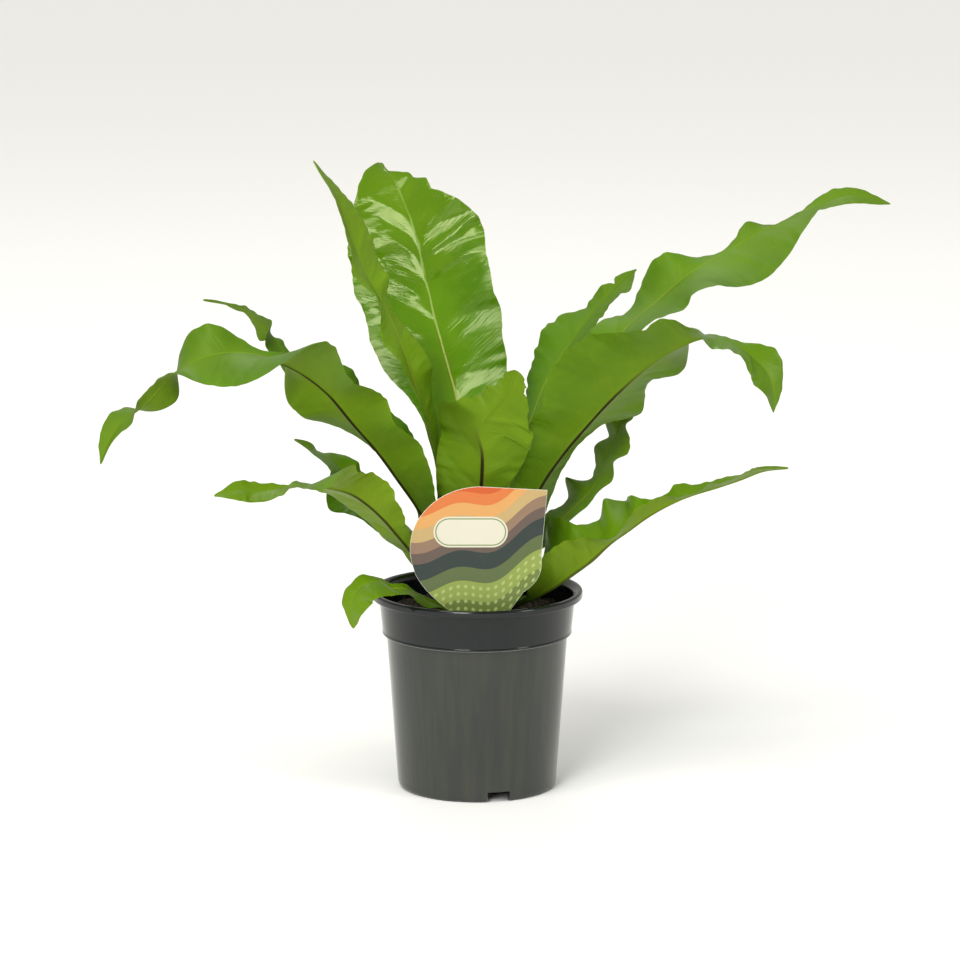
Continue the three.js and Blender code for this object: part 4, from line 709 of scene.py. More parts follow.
def bladeMesh(name, frond, materials):
    detail, blade = frondDetail, bladeArrays(name, frond)
    t, share, length = blade["t"], blade["share"], blade["arc"][-1, 0]
    rows, columns = len(t) - 1, len(share)
    points = pointOrder(blade["upper"], blade["under"], blade["tip"]) * mm
    faces, slots = bladeFaces(rows, columns)
    mesh = bpy.data.meshes.new(name)
    mesh.from_pydata(points.tolist(), [], faces)
    for material in materials:
        mesh.materials.append(material)
    mesh.polygons.foreach_set("material_index", slots)
    mesh.polygons.foreach_set("use_smooth", [True] * len(faces))

    spots = np.stack(np.broadcast_arrays(blade["signed"] * mm, blade["arc"] * mm, share), -1)
    tones = np.stack(np.broadcast_arrays(t + 0 * share, frond["tint"], frond["ribDark"]), -1)
    dull = detail["dullMargin"] * share ** detail["dullCurve"]
    gloss = frond["gloss"] * (1 - dull * ramp(detail["dullUpTo"] - t, 0, detail["dullFade"]))
    for title, kind, field, values, tip in (
        ("bladePlace", "FLOAT_VECTOR", "vector", spots, [0, length * mm, 0]),
        ("bladeTone", "FLOAT_VECTOR", "vector", tones, tones[-1, 0]),
        ("bladeGloss", "FLOAT", "value", gloss, gloss[-1, 0]),
    ):
        values = pointOrder(values, values, tip).astype(np.float32).ravel()
        mesh.attributes.new(title, kind, "POINT").data.foreach_set(field, values)

    mesh.update()
    ends = np.zeros(2 * len(mesh.edges), int)
    mesh.edges.foreach_get("vertices", ends)
    ends = ends.reshape(-1, 2)
    onMargin = np.isin(ends % columns, (0, columns - 1)) & (ends < rows * columns)
    sharp = onMargin.all(axis=1) & (ends[:, 0] % columns == ends[:, 1] % columns)
    mesh.attributes.new("sharp_edge", "BOOLEAN", "EDGE").data.foreach_set("value", sharp)
    return mesh


def paintRib(tree, colour, side, ratio, length, ribDark):
    # pale with a dark hairline on each flank above, a dark keel in a yellowish strip below
    look = frondFinish
    if side == "upper":
        pale = times(tree, fade(tree, ratio, *look["paleWide"]), fade(tree, length, *look["paleLong"]))
        hair = times(tree, fade(tree, ratio, *look["hairInner"]), fade(tree, ratio, *look["hairOuter"]))
        hair = times(tree, times(tree, hair, fade(tree, length, *look["hairLong"])), ribDark)
        colour = tone(tree, times(tree, pale, look["paleShare"]), colour, look["paleRib"])
        return tone(tree, hair, colour, look["hairline"])
    strip = times(tree, fade(tree, ratio, *look["stripWide"]), fade(tree, length, *look["stripLong"]))
    # a rib darker than 1 is dark farther up
    extra = times(tree, calc(tree, "MAXIMUM", minus(tree, ribDark, 1.0), 0.0), look["darkReach"])
    dark = fade(tree, minus(tree, length, extra), *look["darkLong"])
    dark = times(tree, fade(tree, ratio, *look["darkWide"]), dark)
    colour = tone(tree, strip, colour, look["strip"])
    return tone(tree, times(tree, dark, ribDark), colour, look["darkRib"])


def makeFrondMaterial(name, veinGroup, side, specular):
    material, tree, shader = newMaterial(name)
    look, face = frondFinish, frondFinish[side]
    blade = bladeValue(tree, "bladePlace", "Vector")
    signed, _, share = split(tree, blade)
    length, tint, ribDark = split(tree, bladeValue(tree, "bladeTone", "Vector"))
    pattern = placeGroup(tree, veinGroup, Place=blade, Point=objectPoint(tree))
    mottle, vein = pattern["Mottle"], pattern["Vein"]
    atCrown, change = look["ribHalf"]
    ribHalf = calc(tree, "MULTIPLY_ADD", length, change, atCrown)
    ratio = calc(tree, "DIVIDE", calc(tree, "ABSOLUTE", signed), ribHalf)

    colour = tone(tree, fade(tree, pattern["Blotch"], *look["blotches"]), face["deep"], face["bright"])
    colour = tone(tree, times(tree, tint, look["youngShare"]), colour, face["young"])
    colour = overlay(tree, colour, share, look["besideRib"], face["young"])
    colour = overlay(tree, colour, mottle, look["mottled"], face["young"])
    colour = overlay(tree, colour, length, look["towardTip"], look["tip"])
    colour = tone(tree, times(tree, vein, look["veinShare"]), colour, face["young"])
    colour = paintRib(tree, colour, side, ratio, length, ribDark)
    colour = overlay(tree, colour, share, look["atMargin"], look["margin"])
    # painted shade: the blade darkens toward the crown, where the rosette's fronds shade each other
    colour = overlay(tree, colour, length, look["shadeTowardCrown"], look["paintedShade"])
    colour = overlay(tree, colour, length, look["atStalk"], look["stalk"])

    gloss = bladeValue(tree, "bladeGloss", "Fac")
    rough = calc(tree, "MULTIPLY_ADD", gloss, look["glossEffect"], face["roughness"])
    uneven = calc(tree, "MULTIPLY_ADD", mottle, look["mottleRough"], -look["mottleRough"] / 2)
    rough = plus(tree, rough, plus(tree, uneven, times(tree, vein, look["veinRough"])))
    rough = plus(tree, rough, times(tree, fade(tree, ratio, *look["ribRoughWide"]), look["ribRough"]))
    height = plus(tree, pattern["Height"], times(tree, mottle, look["mottleHeight"]))
    finishShader(tree, shader, {**look, "specular": specular}, colour, rough, height)
    feed(tree, shader, {"Specular Tint": paint(look["sheenTint"])})
    return material


def makeFronds(veinGroup):
    look = frondFinish
    shiny = makeFrondMaterial("frondShinyUpperSide", veinGroup, "upper", look["shinySpecular"])
    upper = makeFrondMaterial("frondUpperSide", veinGroup, "upper", look["upperSpecular"])
    under = makeFrondMaterial("frondUnderSide", veinGroup, "under", look["underSpecular"])
    for node, entry in fronds.items():
        name, frond = node + "_leaf", {**plainFrond, **entry}
        above = shiny if frond["gloss"] > 1 else upper
        leaf = linkObject(name, bladeMesh(name, frond, [above, under]))
        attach(leaf, body)
        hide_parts(node)
    print("fronds:", len(fronds))


pot = {
    "segments": 192, "sharpAngle": 32,
    "cornerSteps": 5, "cornerShare": 0.49,  # a corner takes less than half of each side
    "height": 114, "rimRadius": 60, "rimBand": 4.2, "rimWidth": 2.6, "collarRadius": 55.7,
    "stepHeight": 89.7, "stepRadius": 53.6, "stepWidth": 2.1,
    "bead": 0.35,  # low bead round the collar's lower edge
    "footRadius": 45, "footFillet": 4, "footRing": 1.2, "floorUnderside": 6.5, "wall": 1.4,
    "centreFoot": 12, "centreSlope": 2,
    "notchCount": 3, "notchWidth": 13, "notchHeight": 6.1, "notchDepth": 14, "notchTurn": -74,
    "drainCount": 6, "drainRadius": 4, "drainCircle": 28, "drainSides": 40, "drainCut": 6,
}

potFinish = {
    "plastic": "070E0F", "plasticWarm": "0F1513", "dust": "55574F",
    "paintedReflection": "2B2F2C", "paintedReflectionLight": "34362F",  # painted reflection: the wall below the collar made lighter, as it mirrors the lit floor
    "paintedStepHighlight": "83877E",  # painted highlight: a light line along the collar's lower edge at the step
    "roughness": 0.06, "specular": 0.42, "grainScale": 520.0, "grainDust": 0.04,
    # faint upright flow lines of the moulding
    "flowStretch": (1.0, 1.0, 0.06), "flow": (130.0, 3.0, 0.6), "flowRough": 0.14,
    "warmClouds": (0.35, 0.7), "warmFlow": (0.4, 0.7), "reflectionFlow": (0.35, 0.7),
    # heights below and above the step, in millimetres
    "reflectionTop": (-0.8, -1.4), "highlightFrom": (-0.9, -0.6), "highlightTo": (0.1, -0.3), "highlightShare": 0.8,
    "dustyFoot": (30, 0), "footDust": 0.1, "dustRough": 0.4,
    "reliefStrength": 0.05, "reliefDepth": 0.0002,
}


def wallRadius(height):
    # outside of the wall: one taper below the step, one above it
    step, lip = pot["stepHeight"], pot["height"] - pot["rimBand"]
    if height < step:
        low, high, share = pot["footRadius"], pot["stepRadius"] - pot["stepWidth"], height / step
    else:
        low, high, share = pot["stepRadius"], pot["collarRadius"], (height - step) / (lip - step)
    return low + (high - low) * share


def bend(start, corner, end, f):
    return start * (1 - f) ** 2 + corner * 2 * f * (1 - f) + end * f * f


def roundCorners(corners):
    # corners are (radius, height, rounding); the first and last stay sharp
    line = [corners[0][:2]]
    steps = pot["cornerSteps"]
    for before, here, after in zip(corners, corners[1:], corners[2:]):
        spot, rounding = Vector(here[:2]), here[2]
        into, out = Vector(before[:2]) - spot, Vector(after[:2]) - spot
        first = spot + into.normalized() * min(rounding, into.length * pot["cornerShare"])
        final = spot + out.normalized() * min(rounding, out.length * pot["cornerShare"])
        line += [tuple(bend(first, spot, final, k / steps)) for k in range(steps + 1)]
    line.append(corners[-1][:2])
    return line


def revolve(name, line, segments):
    points, rings = [], []
    for radius, height in line:
        if radius < 1e-6:
            rings.append([len(points)] * segments)
            points.append((0, 0, height * mm))
            continue
        rings.append(list(range(len(points), len(points) + segments)))
        for k in range(segments):
            angle = 2 * math.pi * k / segments
            points.append((radius * mm * math.cos(angle), radius * mm * math.sin(angle), height * mm))
    faces = []
    for low, high in zip(rings, rings[1:]):
        for k in range(segments):
            m = (k + 1) % segments
            faces.append(tuple(dict.fromkeys((low[k], low[m], high[m], high[k]))))
    mesh = bpy.data.meshes.new(name)
    mesh.from_pydata(points, [], faces)
    return mesh


def tidyMesh(mesh, sharpAngle):
    shape = bmesh.new()
    shape.from_mesh(mesh)
    bmesh.ops.remove_doubles(shape, verts=shape.verts, dist=1e-7)
    bmesh.ops.recalc_face_normals(shape, faces=shape.faces)
    for face in shape.faces:
        face.smooth = True
    for edge in shape.edges:
        if len(edge.link_faces) == 2 and edge.calc_face_angle(0) > math.radians(sharpAngle):
            edge.smooth = False
    shape.to_mesh(mesh)
    shape.free()
    return mesh


def potLine():
    lip, wall, top, rim = pot["height"] - pot["rimBand"], pot["wall"], pot["height"], pot["rimRadius"]
    step, foot, centre = pot["stepHeight"], pot["floorUnderside"], pot["centreFoot"]
    bead, slope, fillet = wallRadius(step) + pot["bead"], centre + pot["centreSlope"], pot["footFillet"]
    return roundCorners([
        (0, 0, 0), (centre, 0, 0.8), (slope, foot, 0.8),  # centre foot
        (wallRadius(foot) - fillet, foot, 0.6), (wallRadius(0) - fillet - pot["footRing"], 0, 0.5),
        (wallRadius(0) - 0.1, 0, fillet),  # the ring it stands on
        (wallRadius(step - 0.8), step - 0.8, 0.3),  # up the wall to the stacking step
        (bead, step - 0.4, 0.5), (bead, step + 0.6, 0.4), (wallRadius(step + 1.4), step + 1.4, 0.5),
        (wallRadius(lip - 0.4), lip - 0.5, 0.6),  # up the collar to the rolled rim
        (rim, lip, 0.9), (rim, top, 1.3), (rim - pot["rimWidth"], top, 0.9),
        (wallRadius(lip) - wall, top - 2.2, 1.2),  # down the inside
        (wallRadius(step) - wall, step + 1.2, 0.5), (wallRadius(step - 1) - wall, step - 0.6, 0.5),
        (wallRadius(foot + wall) - wall - 0.6, foot + wall, 1.6),
        (slope, foot + wall, 0.6), (centre, wall, 0.6), (0, wall, 0),
    ])


def cutSizes():
    return {
        "Notch Count": pot["notchCount"], "Notch Width": pot["notchWidth"] * mm,
        "Notch Height": pot["notchHeight"] * mm, "Notch Depth": pot["notchDepth"] * mm,
        "Notch Turn": math.radians(pot["notchTurn"]), "Foot Radius": pot["footRadius"] * mm,
        "Drain Count": pot["drainCount"], "Drain Radius": pot["drainRadius"] * mm,
        "Drain Circle": pot["drainCircle"] * mm, "Drain Cut": pot["drainCut"] * mm,
        "Floor Height": (pot["floorUnderside"] + pot["wall"] / 2) * mm,
    }


def geometryInputs(sizes, *materials):
    # the sockets of a tree, each with its piece's own value as its default
    kinds = {name: ("Int" if isinstance(value, int) else "Float", value) for name, value in sizes.items()}
    return {"Geometry": ("Geometry", None), **kinds, **{name: ("Material", None) for name in materials}}


def dress(tree, shape, material):
    # every tree ends this way
    whole = output(tree, "GeometryNodeRealizeInstances", {"Geometry": shape})
    return output(tree, "GeometryNodeSetMaterial", {"Geometry": whole, "Material": material})


def makeCutTree():
    # boxes and round pins, each set out in a ring, cut from what comes in
    inputs = geometryInputs(cutSizes(), "Plastic")
    tree, given, result = newGroup("potCuts", inputs, {"Geometry": "Geometry"}, "GeometryNodeTree")

    def ring(shape, count, radius, height, turn):
        line = output(tree, "GeometryNodeMeshLine", {"Count": count, "Offset": (0, 0, 0)})
        index = output(tree, "GeometryNodeInputIndex")
        angle = plus(tree, calc(tree, "DIVIDE", times(tree, index, 2 * math.pi), count), turn)
        x, y = [times(tree, calc(tree, wave, angle), radius) for wave in ("COSINE", "SINE")]
        spots = {"Geometry": line, "Position": vector(tree, x, y, height)}
        moved = output(tree, "GeometryNodeSetPosition", spots)
        inputs = {"Points": moved, "Instance": shape, "Rotation": vector(tree, 0.0, 0.0, angle)}
        placed = output(tree, "GeometryNodeInstanceOnPoints", inputs)
        return output(tree, "GeometryNodeRealizeInstances", {"Geometry": placed})

    high = times(tree, given["Notch Height"], 2.0)  # half of the box is below the foot
    box = output(tree, "GeometryNodeMeshCube", {
        "Size": vector(tree, given["Notch Depth"], given["Notch Width"], high)})
    pin = output(tree, "GeometryNodeMeshCylinder", {
        "Vertices": pot["drainSides"], "Radius": given["Drain Radius"], "Depth": given["Drain Cut"]})
    notches = ring(box, given["Notch Count"], given["Foot Radius"], 0.0, given["Notch Turn"])
    drains = ring(pin, given["Drain Count"], given["Drain Circle"], given["Floor Height"], 0.0)
    solid = {"Mesh 1": given["Geometry"]}
    cut = addNode(tree, "GeometryNodeMeshBoolean", solid, operation="DIFFERENCE", solver="EXACT")
    for cutter in (notches, drains):
        tree.links.new(cutter, cut.inputs["Mesh 2"])
    feed(tree, result, {"Geometry": dress(tree, cut.outputs[0], given["Plastic"])})
    return tree


def grow(name, mesh, tree, values):
    # runs a node tree on a mesh and returns a new object that holds the plain result
    base = linkObject(name + "Base", mesh)
    modifier = base.modifiers.new("grow", "NODES")
    modifier.node_group = tree
    for item in tree.interface.items_tree:
        if item.in_out == "INPUT" and item.name in values:
            modifier[item.identifier] = values[item.name]
    graph = bpy.context.evaluated_depsgraph_get()
    made = bpy.data.meshes.new_from_object(base.evaluated_get(graph))
    base.modifiers.remove(modifier)
    bpy.data.objects.remove(base)
    made.name = name
    return linkObject(name, made)


def makePotMaterial(grainGroup):
    material, tree, shader = newMaterial("growersPlastic")
    look, step = potFinish, pot["stepHeight"]
    point, pattern = grainOver(tree, grainGroup, look)
    cloud = pattern["Cloud"]
    flow = speckle(tree, vectorMath(tree, "MULTIPLY", point, look["flowStretch"]), *look["flow"])
    height = split(tree, point)[2]

    def atStep(heights):
        return fade(tree, height, *[(step + h) * mm for h in heights])

    clouds, lines = fade(tree, cloud, *look["warmClouds"]), fade(tree, flow, *look["warmFlow"])
    warm = times(tree, plus(tree, clouds, lines), 0.5)
    colour = tone(tree, warm, look["plastic"], look["plasticWarm"])
    # painted reflection: below the step the wall is lighter, standing in for the lit floor it mirrors, while
    # the collar stays dark
    paintedReflection = tone(tree, fade(tree, flow, *look["reflectionFlow"]), look["paintedReflection"], look["paintedReflectionLight"])
    colour = tone(tree, atStep(look["reflectionTop"]), colour, paintedReflection)
    # painted highlight: a narrow light band round the bead at the step
    paintedStepHighlight = times(tree, atStep(look["highlightFrom"]), atStep(look["highlightTo"]))
    colour = tone(tree, times(tree, paintedStepHighlight, look["highlightShare"]), colour, look["paintedStepHighlight"])
    atFoot = fade(tree, height, *[h * mm for h in look["dustyFoot"]])
    dust = plus(tree, pattern["Dust"], times(tree, atFoot, times(tree, cloud, look["footDust"])))
    colour = tone(tree, dust, colour, look["dust"])
    rough = calc(tree, "MULTIPLY_ADD", flow, look["flowRough"], look["roughness"])
    rough = plus(tree, rough, times(tree, dust, look["dustRough"]))
    finishShader(tree, shader, look, colour, rough, pattern["Height"])
    return material


def makePot(grainGroup):
    values = {**cutSizes(), "Plastic": makePotMaterial(grainGroup)}
    solid = tidyMesh(revolve("potShape", potLine(), pot["segments"]), pot["sharpAngle"])
    shell = grow("pot_shell", solid, makeCutTree(), values)
    tidyMesh(shell.data, pot["sharpAngle"])
    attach(shell, body)
    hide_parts("pot")
    print("pot:", len(shell.data.polygons), "faces")


soil = {
    "level": 100, "mound": 2.5, "gap": 0.4, "floorGap": 0.3, "rings": 46, "segments": 150,
    "lump": 0.9, "swell": (0.31, 1.3, 0.27), "ripple": (0.13, 0.57, 0.6),  # the broad unevenness of the top
    "roughHeight": 1.1, "roughScale": 0.22, "roughEdge": 4, "fractal": (1.0, 2.0, 4),  # the peat lumps on it
    "sharpAngle": 60, "topBand": 3,  # crumbs lie above this depth under the level
    "peat": ("1C140D", "3A2A1B", 900.0), "fibre": ("3A2816", "6B4E2E", 700.0),  # two colours, grain
    "crumbs": {"Density": 240000.0, "Size": 0.0011, "Length": 0.8, "Tilt": 1.5, "Least Rise": 0.5, "Seed": 7},
    "fibres": {"Density": 26000.0, "Size": 0.0004, "Length": 6.0, "Tilt": 1.5, "Least Rise": 0.5, "Seed": 11},
}


def soilTop(x, y):
    share = min(1, math.hypot(x, y) / wallRadius(soil["level"]))
    turnX, start, turnY = soil["swell"]
    slantX, slantY, high = soil["ripple"]
    lumps = math.sin(x * turnX + start) * math.cos(y * turnY) + high * math.sin(x * slantX - y * slantY)
    return soil["level"] + soil["mound"] * (1 - share * share) + soil["lump"] * lumps


def soilMesh():
    def inner(height):
        return wallRadius(height) - pot["wall"] - soil["gap"]

    foot = pot["wall"] + soil["floorGap"]
    floor, step, level = pot["floorUnderside"] + foot, pot["stepHeight"], soil["level"]
    edge = inner(level)
    line = [
        (0, foot), (pot["centreFoot"] - 0.7, foot), (pot["centreFoot"] + 1.6, floor),  # in the centre foot
        (inner(floor) - 2.2, floor), (inner(floor + 1.2) - 0.9, floor + 1.2),  # clear of the floor's fillet
        (inner(step - 1), step - 0.6), (inner(step), step + 1.9), (edge, level),
    ]
    line += [(edge * (1 - (k + 1) / soil["rings"]), level + 0.01) for k in range(soil["rings"])]
    mesh = tidyMesh(revolve("soilShape", line, soil["segments"]), pot["sharpAngle"])
    for vertex in mesh.vertices:
        if vertex.co.z > (level - 0.001) * mm:
            x, y = vertex.co.x / mm, vertex.co.y / mm
            fromEdge = min(1, max(0, (edge - math.hypot(x, y)) / soil["roughEdge"]))
            rough = noise.fractal(Vector((x, y, 3)) * soil["roughScale"], *soil["fractal"])
            vertex.co.z = (soilTop(x, y) + rough * soil["roughHeight"] * fromEdge) * mm
    return tidyMesh(mesh, soil["sharpAngle"])


scatter = {
    "crumb": {"Radius": 1.0, "Subdivisions": 2}, "crumbLumps": {"Scale": 1.7, "Detail": 1.0},
    "needle": {"Vertices": 5, "Radius Top": 0.08, "Radius Bottom": 0.5, "Depth": 2.0},
    "sizes": ((0.5, 0.5, 0.4), (1.5, 1.4, 1.1)),  # least and most
    "turns": ((-1, -1, -3.1), (1, 1, 3.1)),
}


def makeScatterTree(name, shape, sizes):
    # one small shape, scattered over the faces that look up or out
    inputs = geometryInputs(sizes, "Finish")
    tree, given, result = newGroup(name, inputs, {"Geometry": "Geometry"}, "GeometryNodeTree")

    def chance(span, number):
        values = {0: span[0], 1: span[1], "Seed": plus(tree, given["Seed"], float(number))}
        return output(tree, "FunctionNodeRandomValue", values, data_type="FLOAT_VECTOR")

    rise = split(tree, output(tree, "GeometryNodeInputNormal"))[2]
    level = split(tree, output(tree, "GeometryNodeInputPosition"))[2]
    facesUp = calc(tree, "GREATER_THAN", rise, given["Least Rise"])
    chosen = times(tree, facesUp, calc(tree, "GREATER_THAN", level, given["Low Edge"]))
    spread = addNode(tree, "GeometryNodeDistributePointsOnFaces", {
        "Mesh": given["Geometry"], "Selection": chosen, "Density": given["Density"], "Seed": given["Seed"]})
    if shape == "crumb":
        ball = output(tree, "GeometryNodeMeshIcoSphere", scatter["crumb"])
        lumps = addNode(tree, "ShaderNodeTexNoise", scatter["crumbLumps"]).outputs["Color"]
        shift = vectorMath(tree, "SUBTRACT", lumps, (0.5, 0.5, 0.5))
        piece = output(tree, "GeometryNodeSetPosition", {"Geometry": ball, "Offset": shift})
    else:
        piece = output(tree, "GeometryNodeMeshCone", scatter["needle"])
    smooth = output(tree, "GeometryNodeSetShadeSmooth", {"Geometry": piece, "Shade Smooth": True})
    wide, tilt = given["Size"], given["Tilt"]
    size = vector(tree, wide, wide, times(tree, wide, given["Length"]))
    size = vectorMath(tree, "MULTIPLY", chance(scatter["sizes"], 1), size)
    swing = vectorMath(tree, "MULTIPLY", chance(scatter["turns"], 2), vector(tree, tilt, tilt, 1.0))
    turned = output(tree, "FunctionNodeRotateRotation", {
        0: spread.outputs["Rotation"], 1: swing}, rotation_space="LOCAL")
    placed = output(tree, "GeometryNodeInstanceOnPoints", {
        "Points": spread.outputs["Points"], "Instance": smooth, "Rotation": turned, "Scale": size})
    feed(tree, result, {"Geometry": dress(tree, placed, given["Finish"])})
    return tree


earth = {
    "grainDust": 0.25, "light": (0.35, 0.75), "dust": "6B543A", "roughness": 0.75, "cloudRough": 0.2,
    "specular": 0.5, "reliefStrength": 0.6, "reliefDepth": 0.0006,
}


def makeEarthMaterial(name, dark, light, scale, grainGroup):
    material, tree, shader = newMaterial(name)
    _, pattern = grainOver(tree, grainGroup, {**earth, "grainScale": scale})
    colour = tone(tree, fade(tree, pattern["Height"], *earth["light"]), dark, light)
    colour = tone(tree, pattern["Dust"], colour, earth["dust"])
    rough = calc(tree, "MULTIPLY_ADD", pattern["Cloud"], earth["cloudRough"], earth["roughness"])
    finishShader(tree, shader, earth, colour, rough, pattern["Height"])
    return material


def makeSoil(grainGroup, crumbTree, needleTree):
    peat = makeEarthMaterial("darkPeat", *soil["peat"], grainGroup)
    fibre = makeEarthMaterial("peatFibre", *soil["fibre"], grainGroup)
    mesh = soilMesh()
    lowEdge = {"Low Edge": (soil["level"] - soil["topBand"]) * mm}
    crumbs = grow("soil_crumbs", mesh.copy(), crumbTree, {**soil["crumbs"], **lowEdge, "Finish": peat})
    fibres = grow("soil_fibres", mesh.copy(), needleTree, {**soil["fibres"], **lowEdge, "Finish": fibre})
    bed = linkObject("soil_bed", mesh)
    mesh.materials.append(peat)
    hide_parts("soil")
    for piece in (bed, crumbs, fibres):
        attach(piece, body)
    print("soil:", len(crumbs.data.polygons), "crumb faces")


crown = {
    "line": [
        (0, 84), (6.2, 84), (12.4, 91), (15.5, 96), (15.5, 101),
        (13.3, 105), (8.5, 110), (3.1, 112), (0, 112),
    ],
    "segments": 72, "rings": 44, "knobs": 1.1, "knobScale": 0.3, "fractal": (1.0, 2.0, 3), "sharpAngle": 60,
    "bark": ("2A1C0C", "4E3A1E", 600.0), "hair": ("3A2410", "7A5A30", 500.0),  # two colours, grain
    "scales": {
        "Density": 900000.0, "Size": 0.00042, "Length": 6.5, "Tilt": 0.9, "Least Rise": -0.4,
        "Low Edge": 0.099, "Seed": 21,
    },
}


def makeCrown(grainGroup, needleTree):
    line = curveAlong(crown["line"], np.linspace(0, 1, crown["rings"] + 1))
    line[:, 0] = np.maximum(line[:, 0], 0)
    line[[0, -1], 0] = 0
    mesh = revolve("crownShape", [tuple(p) for p in line], crown["segments"])
    tidyMesh(mesh, pot["sharpAngle"])
    for vertex in mesh.vertices:
        spot = vertex.co / mm
        out = Vector((spot.x, spot.y, 0))
        if out.length > 1:
            knob = noise.fractal(spot * crown["knobScale"], *crown["fractal"]) * crown["knobs"]
            vertex.co += out.normalized() * knob * mm
    tidyMesh(mesh, crown["sharpAngle"])
    bark = makeEarthMaterial("rootstock", *crown["bark"], grainGroup)
    hair = makeEarthMaterial("brownScales", *crown["hair"], grainGroup)
    scales = grow("crown_scales", mesh.copy(), needleTree, {**crown["scales"], "Finish": hair})
    heart = linkObject("crown_heart", mesh)
    mesh.materials.append(bark)
    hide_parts("crown")
    for piece in (heart, scales):
        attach(piece, body)
    print("crown:", len(scales.data.polygons), "scale faces")


label = {
    "offset": -45, "thickness": 0.6, "steps": 14, "bevel": 0.12,
    "flat": 0.99,  # a face that looks this straight along Y is the front or the back
    # start, then a straight end point or a bend and an end point
    "outline": [
        (2.5, 62), ((5.5, 74),), ((6, 92),), ((10, 100), (19.5, 113)), ((26, 122),), ((35, 128), (36, 136)),
        ((36.4, 147),), ((39.3, 180.4),), ((0.6, 182.4),), ((-22, 181), (-33.5, 162.7)),
        ((-40, 150), (-35.8, 136.4)), ((-33, 125), (-17.4, 113)), ((-3, 101), (-1, 92)), ((-0.5, 74),),
    ],
}

labelPrint = {
    # slanted wavy bands, green at the foot and orange at the head: where each starts, and its colour
    "bands": [
        (0.0, "5D6C32"), (0.16, "7B8A41"), (0.3, "4E5B35"), (0.4, "28322E"), (0.52, "584A42"),
        (0.6, "7F6652"), (0.68, "AA9160"), (0.78, "C08E52"), (0.87, "BD6934"), (0.95, "B34F21"),
    ],
    "foot": 0.108, "high": 0.078, "bandSlant": -0.34,
    "swells": [(150.0, 0.0, 0.0028), (62.0, 1.2, 0.004)],  # pace, start and height of each wave
    # rows of dots over the green bands
    "dotGap": 0.0042, "dotRound": (0.27, 0.2), "dotTop": (0.3, 0.28), "dotShare": 0.75, "dot": "9DAA66",
    # a bare cream panel with rounded ends and a thin line inside its edge
    "panelMiddle": (-0.0035, 0.1565), "panelHalf": 0.012, "panelEdge": (0.0089, 0.0086), "panel": "C2BEAC",
    "lineInner": (0.0071, 0.0073), "lineOuter": (0.0079, 0.0077), "line": "5D7436",
    "dust": "E8E4D8", "grainScale": 900.0, "grainDust": 0.03,
    "roughness": 0.34, "cloudRough": 0.12, "specular": 0.3, "reliefStrength": 0.06, "reliefDepth": 0.0001,
}

labelBack = {
    "card": ("E9E6DA", "F4F2EA"), "dust": "B9B29C", "grainScale": 700.0, "grainDust": 0.2,
    "roughness": 0.42, "specular": 0.5, "reliefStrength": 0.08, "reliefDepth": 0.0001,
}


def labelOutline():
    points = [Vector(label["outline"][0])]
    for part in label["outline"][1:]:
        start, corner, end = points[-1], Vector(part[0]), Vector(part[-1])
        steps = label["steps"] if len(part) == 2 else 1
        points += [bend(start, corner, end, k / steps) for k in range(1, steps + 1)]
    return points


def farFrom(tree, x, y):
    return calc(tree, "SQRT", plus(tree, times(tree, x, x), times(tree, y, y)))


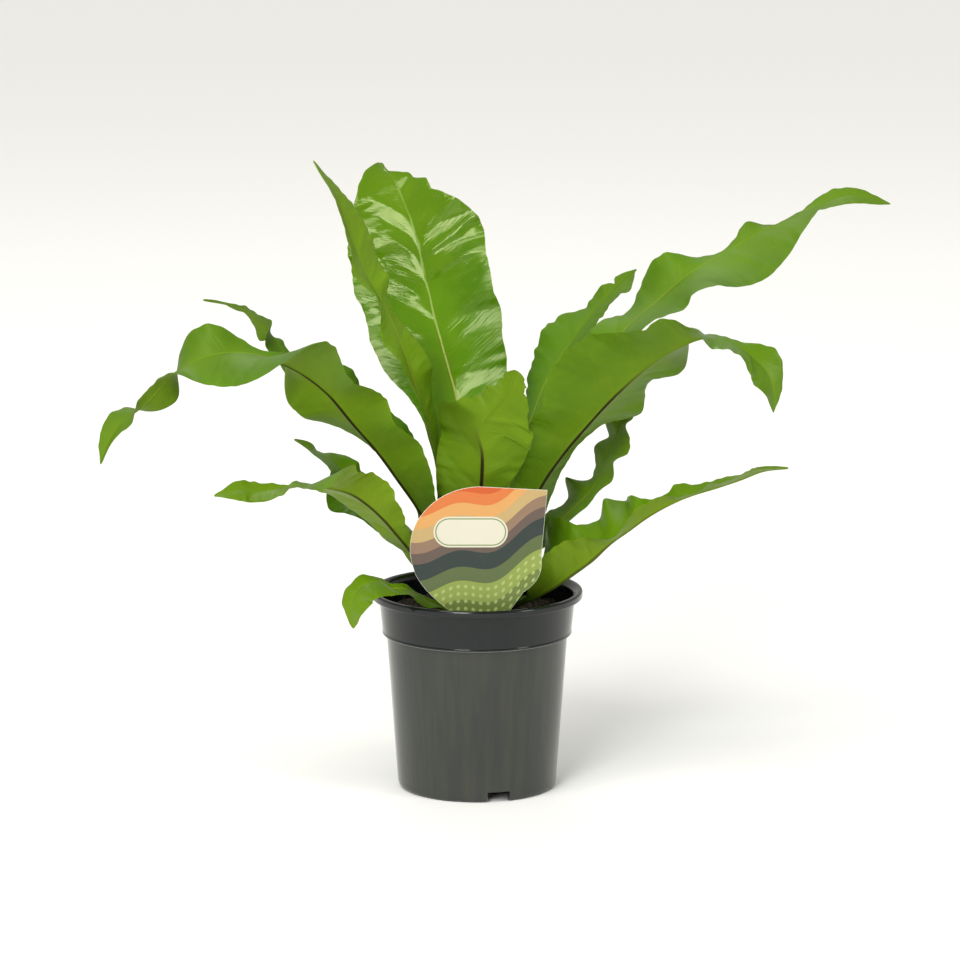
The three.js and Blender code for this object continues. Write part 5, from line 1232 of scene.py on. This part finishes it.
def makeLabelFront(grainGroup):
    material, tree, shader = newMaterial("printedCard")
    look = labelPrint
    point, pattern = grainOver(tree, grainGroup, look)
    x, _, z = split(tree, point)
    rise = plus(tree, z, times(tree, x, look["bandSlant"]))
    for pace, start, high in look["swells"]:
        wave = calc(tree, "SINE", calc(tree, "MULTIPLY_ADD", x, pace, start))
        rise = calc(tree, "MULTIPLY_ADD", wave, high, rise)
    height = calc(tree, "DIVIDE", minus(tree, rise, look["foot"]), look["high"])
    bands = addNode(tree, "ShaderNodeValToRGB", {0: height})
    bands.color_ramp.interpolation = "CONSTANT"
    stops = bands.color_ramp.elements
    while len(stops) < len(look["bands"]):
        stops.new(0.5)
    for stop, (spot, code) in zip(stops, look["bands"]):
        stop.position, stop.color = spot, paint(code)

    dotX, dotZ = [
        minus(tree, calc(tree, "FRACT", calc(tree, "DIVIDE", way, look["dotGap"])), 0.5) for way in (x, rise)]
    dots = fade(tree, farFrom(tree, dotX, dotZ), *look["dotRound"])
    dots = times(tree, times(tree, dots, fade(tree, height, *look["dotTop"])), look["dotShare"])
    colour = tone(tree, dots, bands.outputs[0], look["dot"])

    middleX, middleZ = look["panelMiddle"]
    aside = minus(tree, calc(tree, "ABSOLUTE", minus(tree, x, middleX)), look["panelHalf"])
    reach = farFrom(tree, calc(tree, "MAXIMUM", aside, 0.0), minus(tree, z, middleZ))
    colour = tone(tree, fade(tree, reach, *look["panelEdge"]), colour, look["panel"])
    line = times(tree, fade(tree, reach, *look["lineInner"]), fade(tree, reach, *look["lineOuter"]))
    colour = tone(tree, line, colour, look["line"])
    colour = tone(tree, pattern["Dust"], colour, look["dust"])
    rough = calc(tree, "MULTIPLY_ADD", pattern["Cloud"], look["cloudRough"], look["roughness"])
    finishShader(tree, shader, look, colour, rough, pattern["Height"])
    return material


def makeLabelBack(grainGroup):
    material, tree, shader = newMaterial("plainCard")
    _, pattern = grainOver(tree, grainGroup, labelBack)
    colour = tone(tree, pattern["Cloud"], *labelBack["card"])
    colour = tone(tree, pattern["Dust"], colour, labelBack["dust"])
    finishShader(tree, shader, labelBack, colour, labelBack["roughness"], pattern["Height"])
    return material


def makeLabel(grainGroup):
    shape = bmesh.new()
    front = (label["offset"] - label["thickness"] / 2) * mm
    face = shape.faces.new([shape.verts.new((p.x * mm, front, p.y * mm)) for p in labelOutline()])
    back = bmesh.ops.extrude_face_region(shape, geom=[face])["geom"]
    moved = [v for v in back if isinstance(v, bmesh.types.BMVert)]
    bmesh.ops.translate(shape, verts=moved, vec=(0, label["thickness"] * mm, 0))
    bmesh.ops.recalc_face_normals(shape, faces=shape.faces)
    rim = [e for e in shape.edges if abs(e.verts[0].co.y - e.verts[1].co.y) < 1e-9]
    bmesh.ops.bevel(shape, geom=rim, offset=label["bevel"] * mm, segments=2, affect="EDGES", profile=0.5)
    for side in shape.faces:
        side.material_index = 0 if side.normal.y < -label["flat"] else 1
        side.smooth = abs(side.normal.y) < label["flat"]
    bmesh.ops.triangulate(shape, faces=[f for f in shape.faces if len(f.verts) > 4])
    mesh = bpy.data.meshes.new("plant_label")
    shape.to_mesh(mesh)
    shape.free()
    mesh.materials.append(makeLabelFront(grainGroup))
    mesh.materials.append(makeLabelBack(grainGroup))
    card = linkObject("plant_label", mesh)
    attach(card, body)
    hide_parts("label")
    print("label:", len(mesh.polygons), "faces")


makeStudio()
surfaceGrain = makeSurfaceGrain()
makeFronds(makeLeafVeins())
makePot(surfaceGrain)
crumbScatter = makeScatterTree("crumbScatter", "crumb", {**soil["crumbs"], "Low Edge": 0.0})
needleScatter = makeScatterTree("needleScatter", "needle", {**soil["fibres"], "Low Edge": 0.0})
makeSoil(surfaceGrain, crumbScatter, needleScatter)
makeCrown(surfaceGrain, needleScatter)
makeLabel(surfaceGrain)
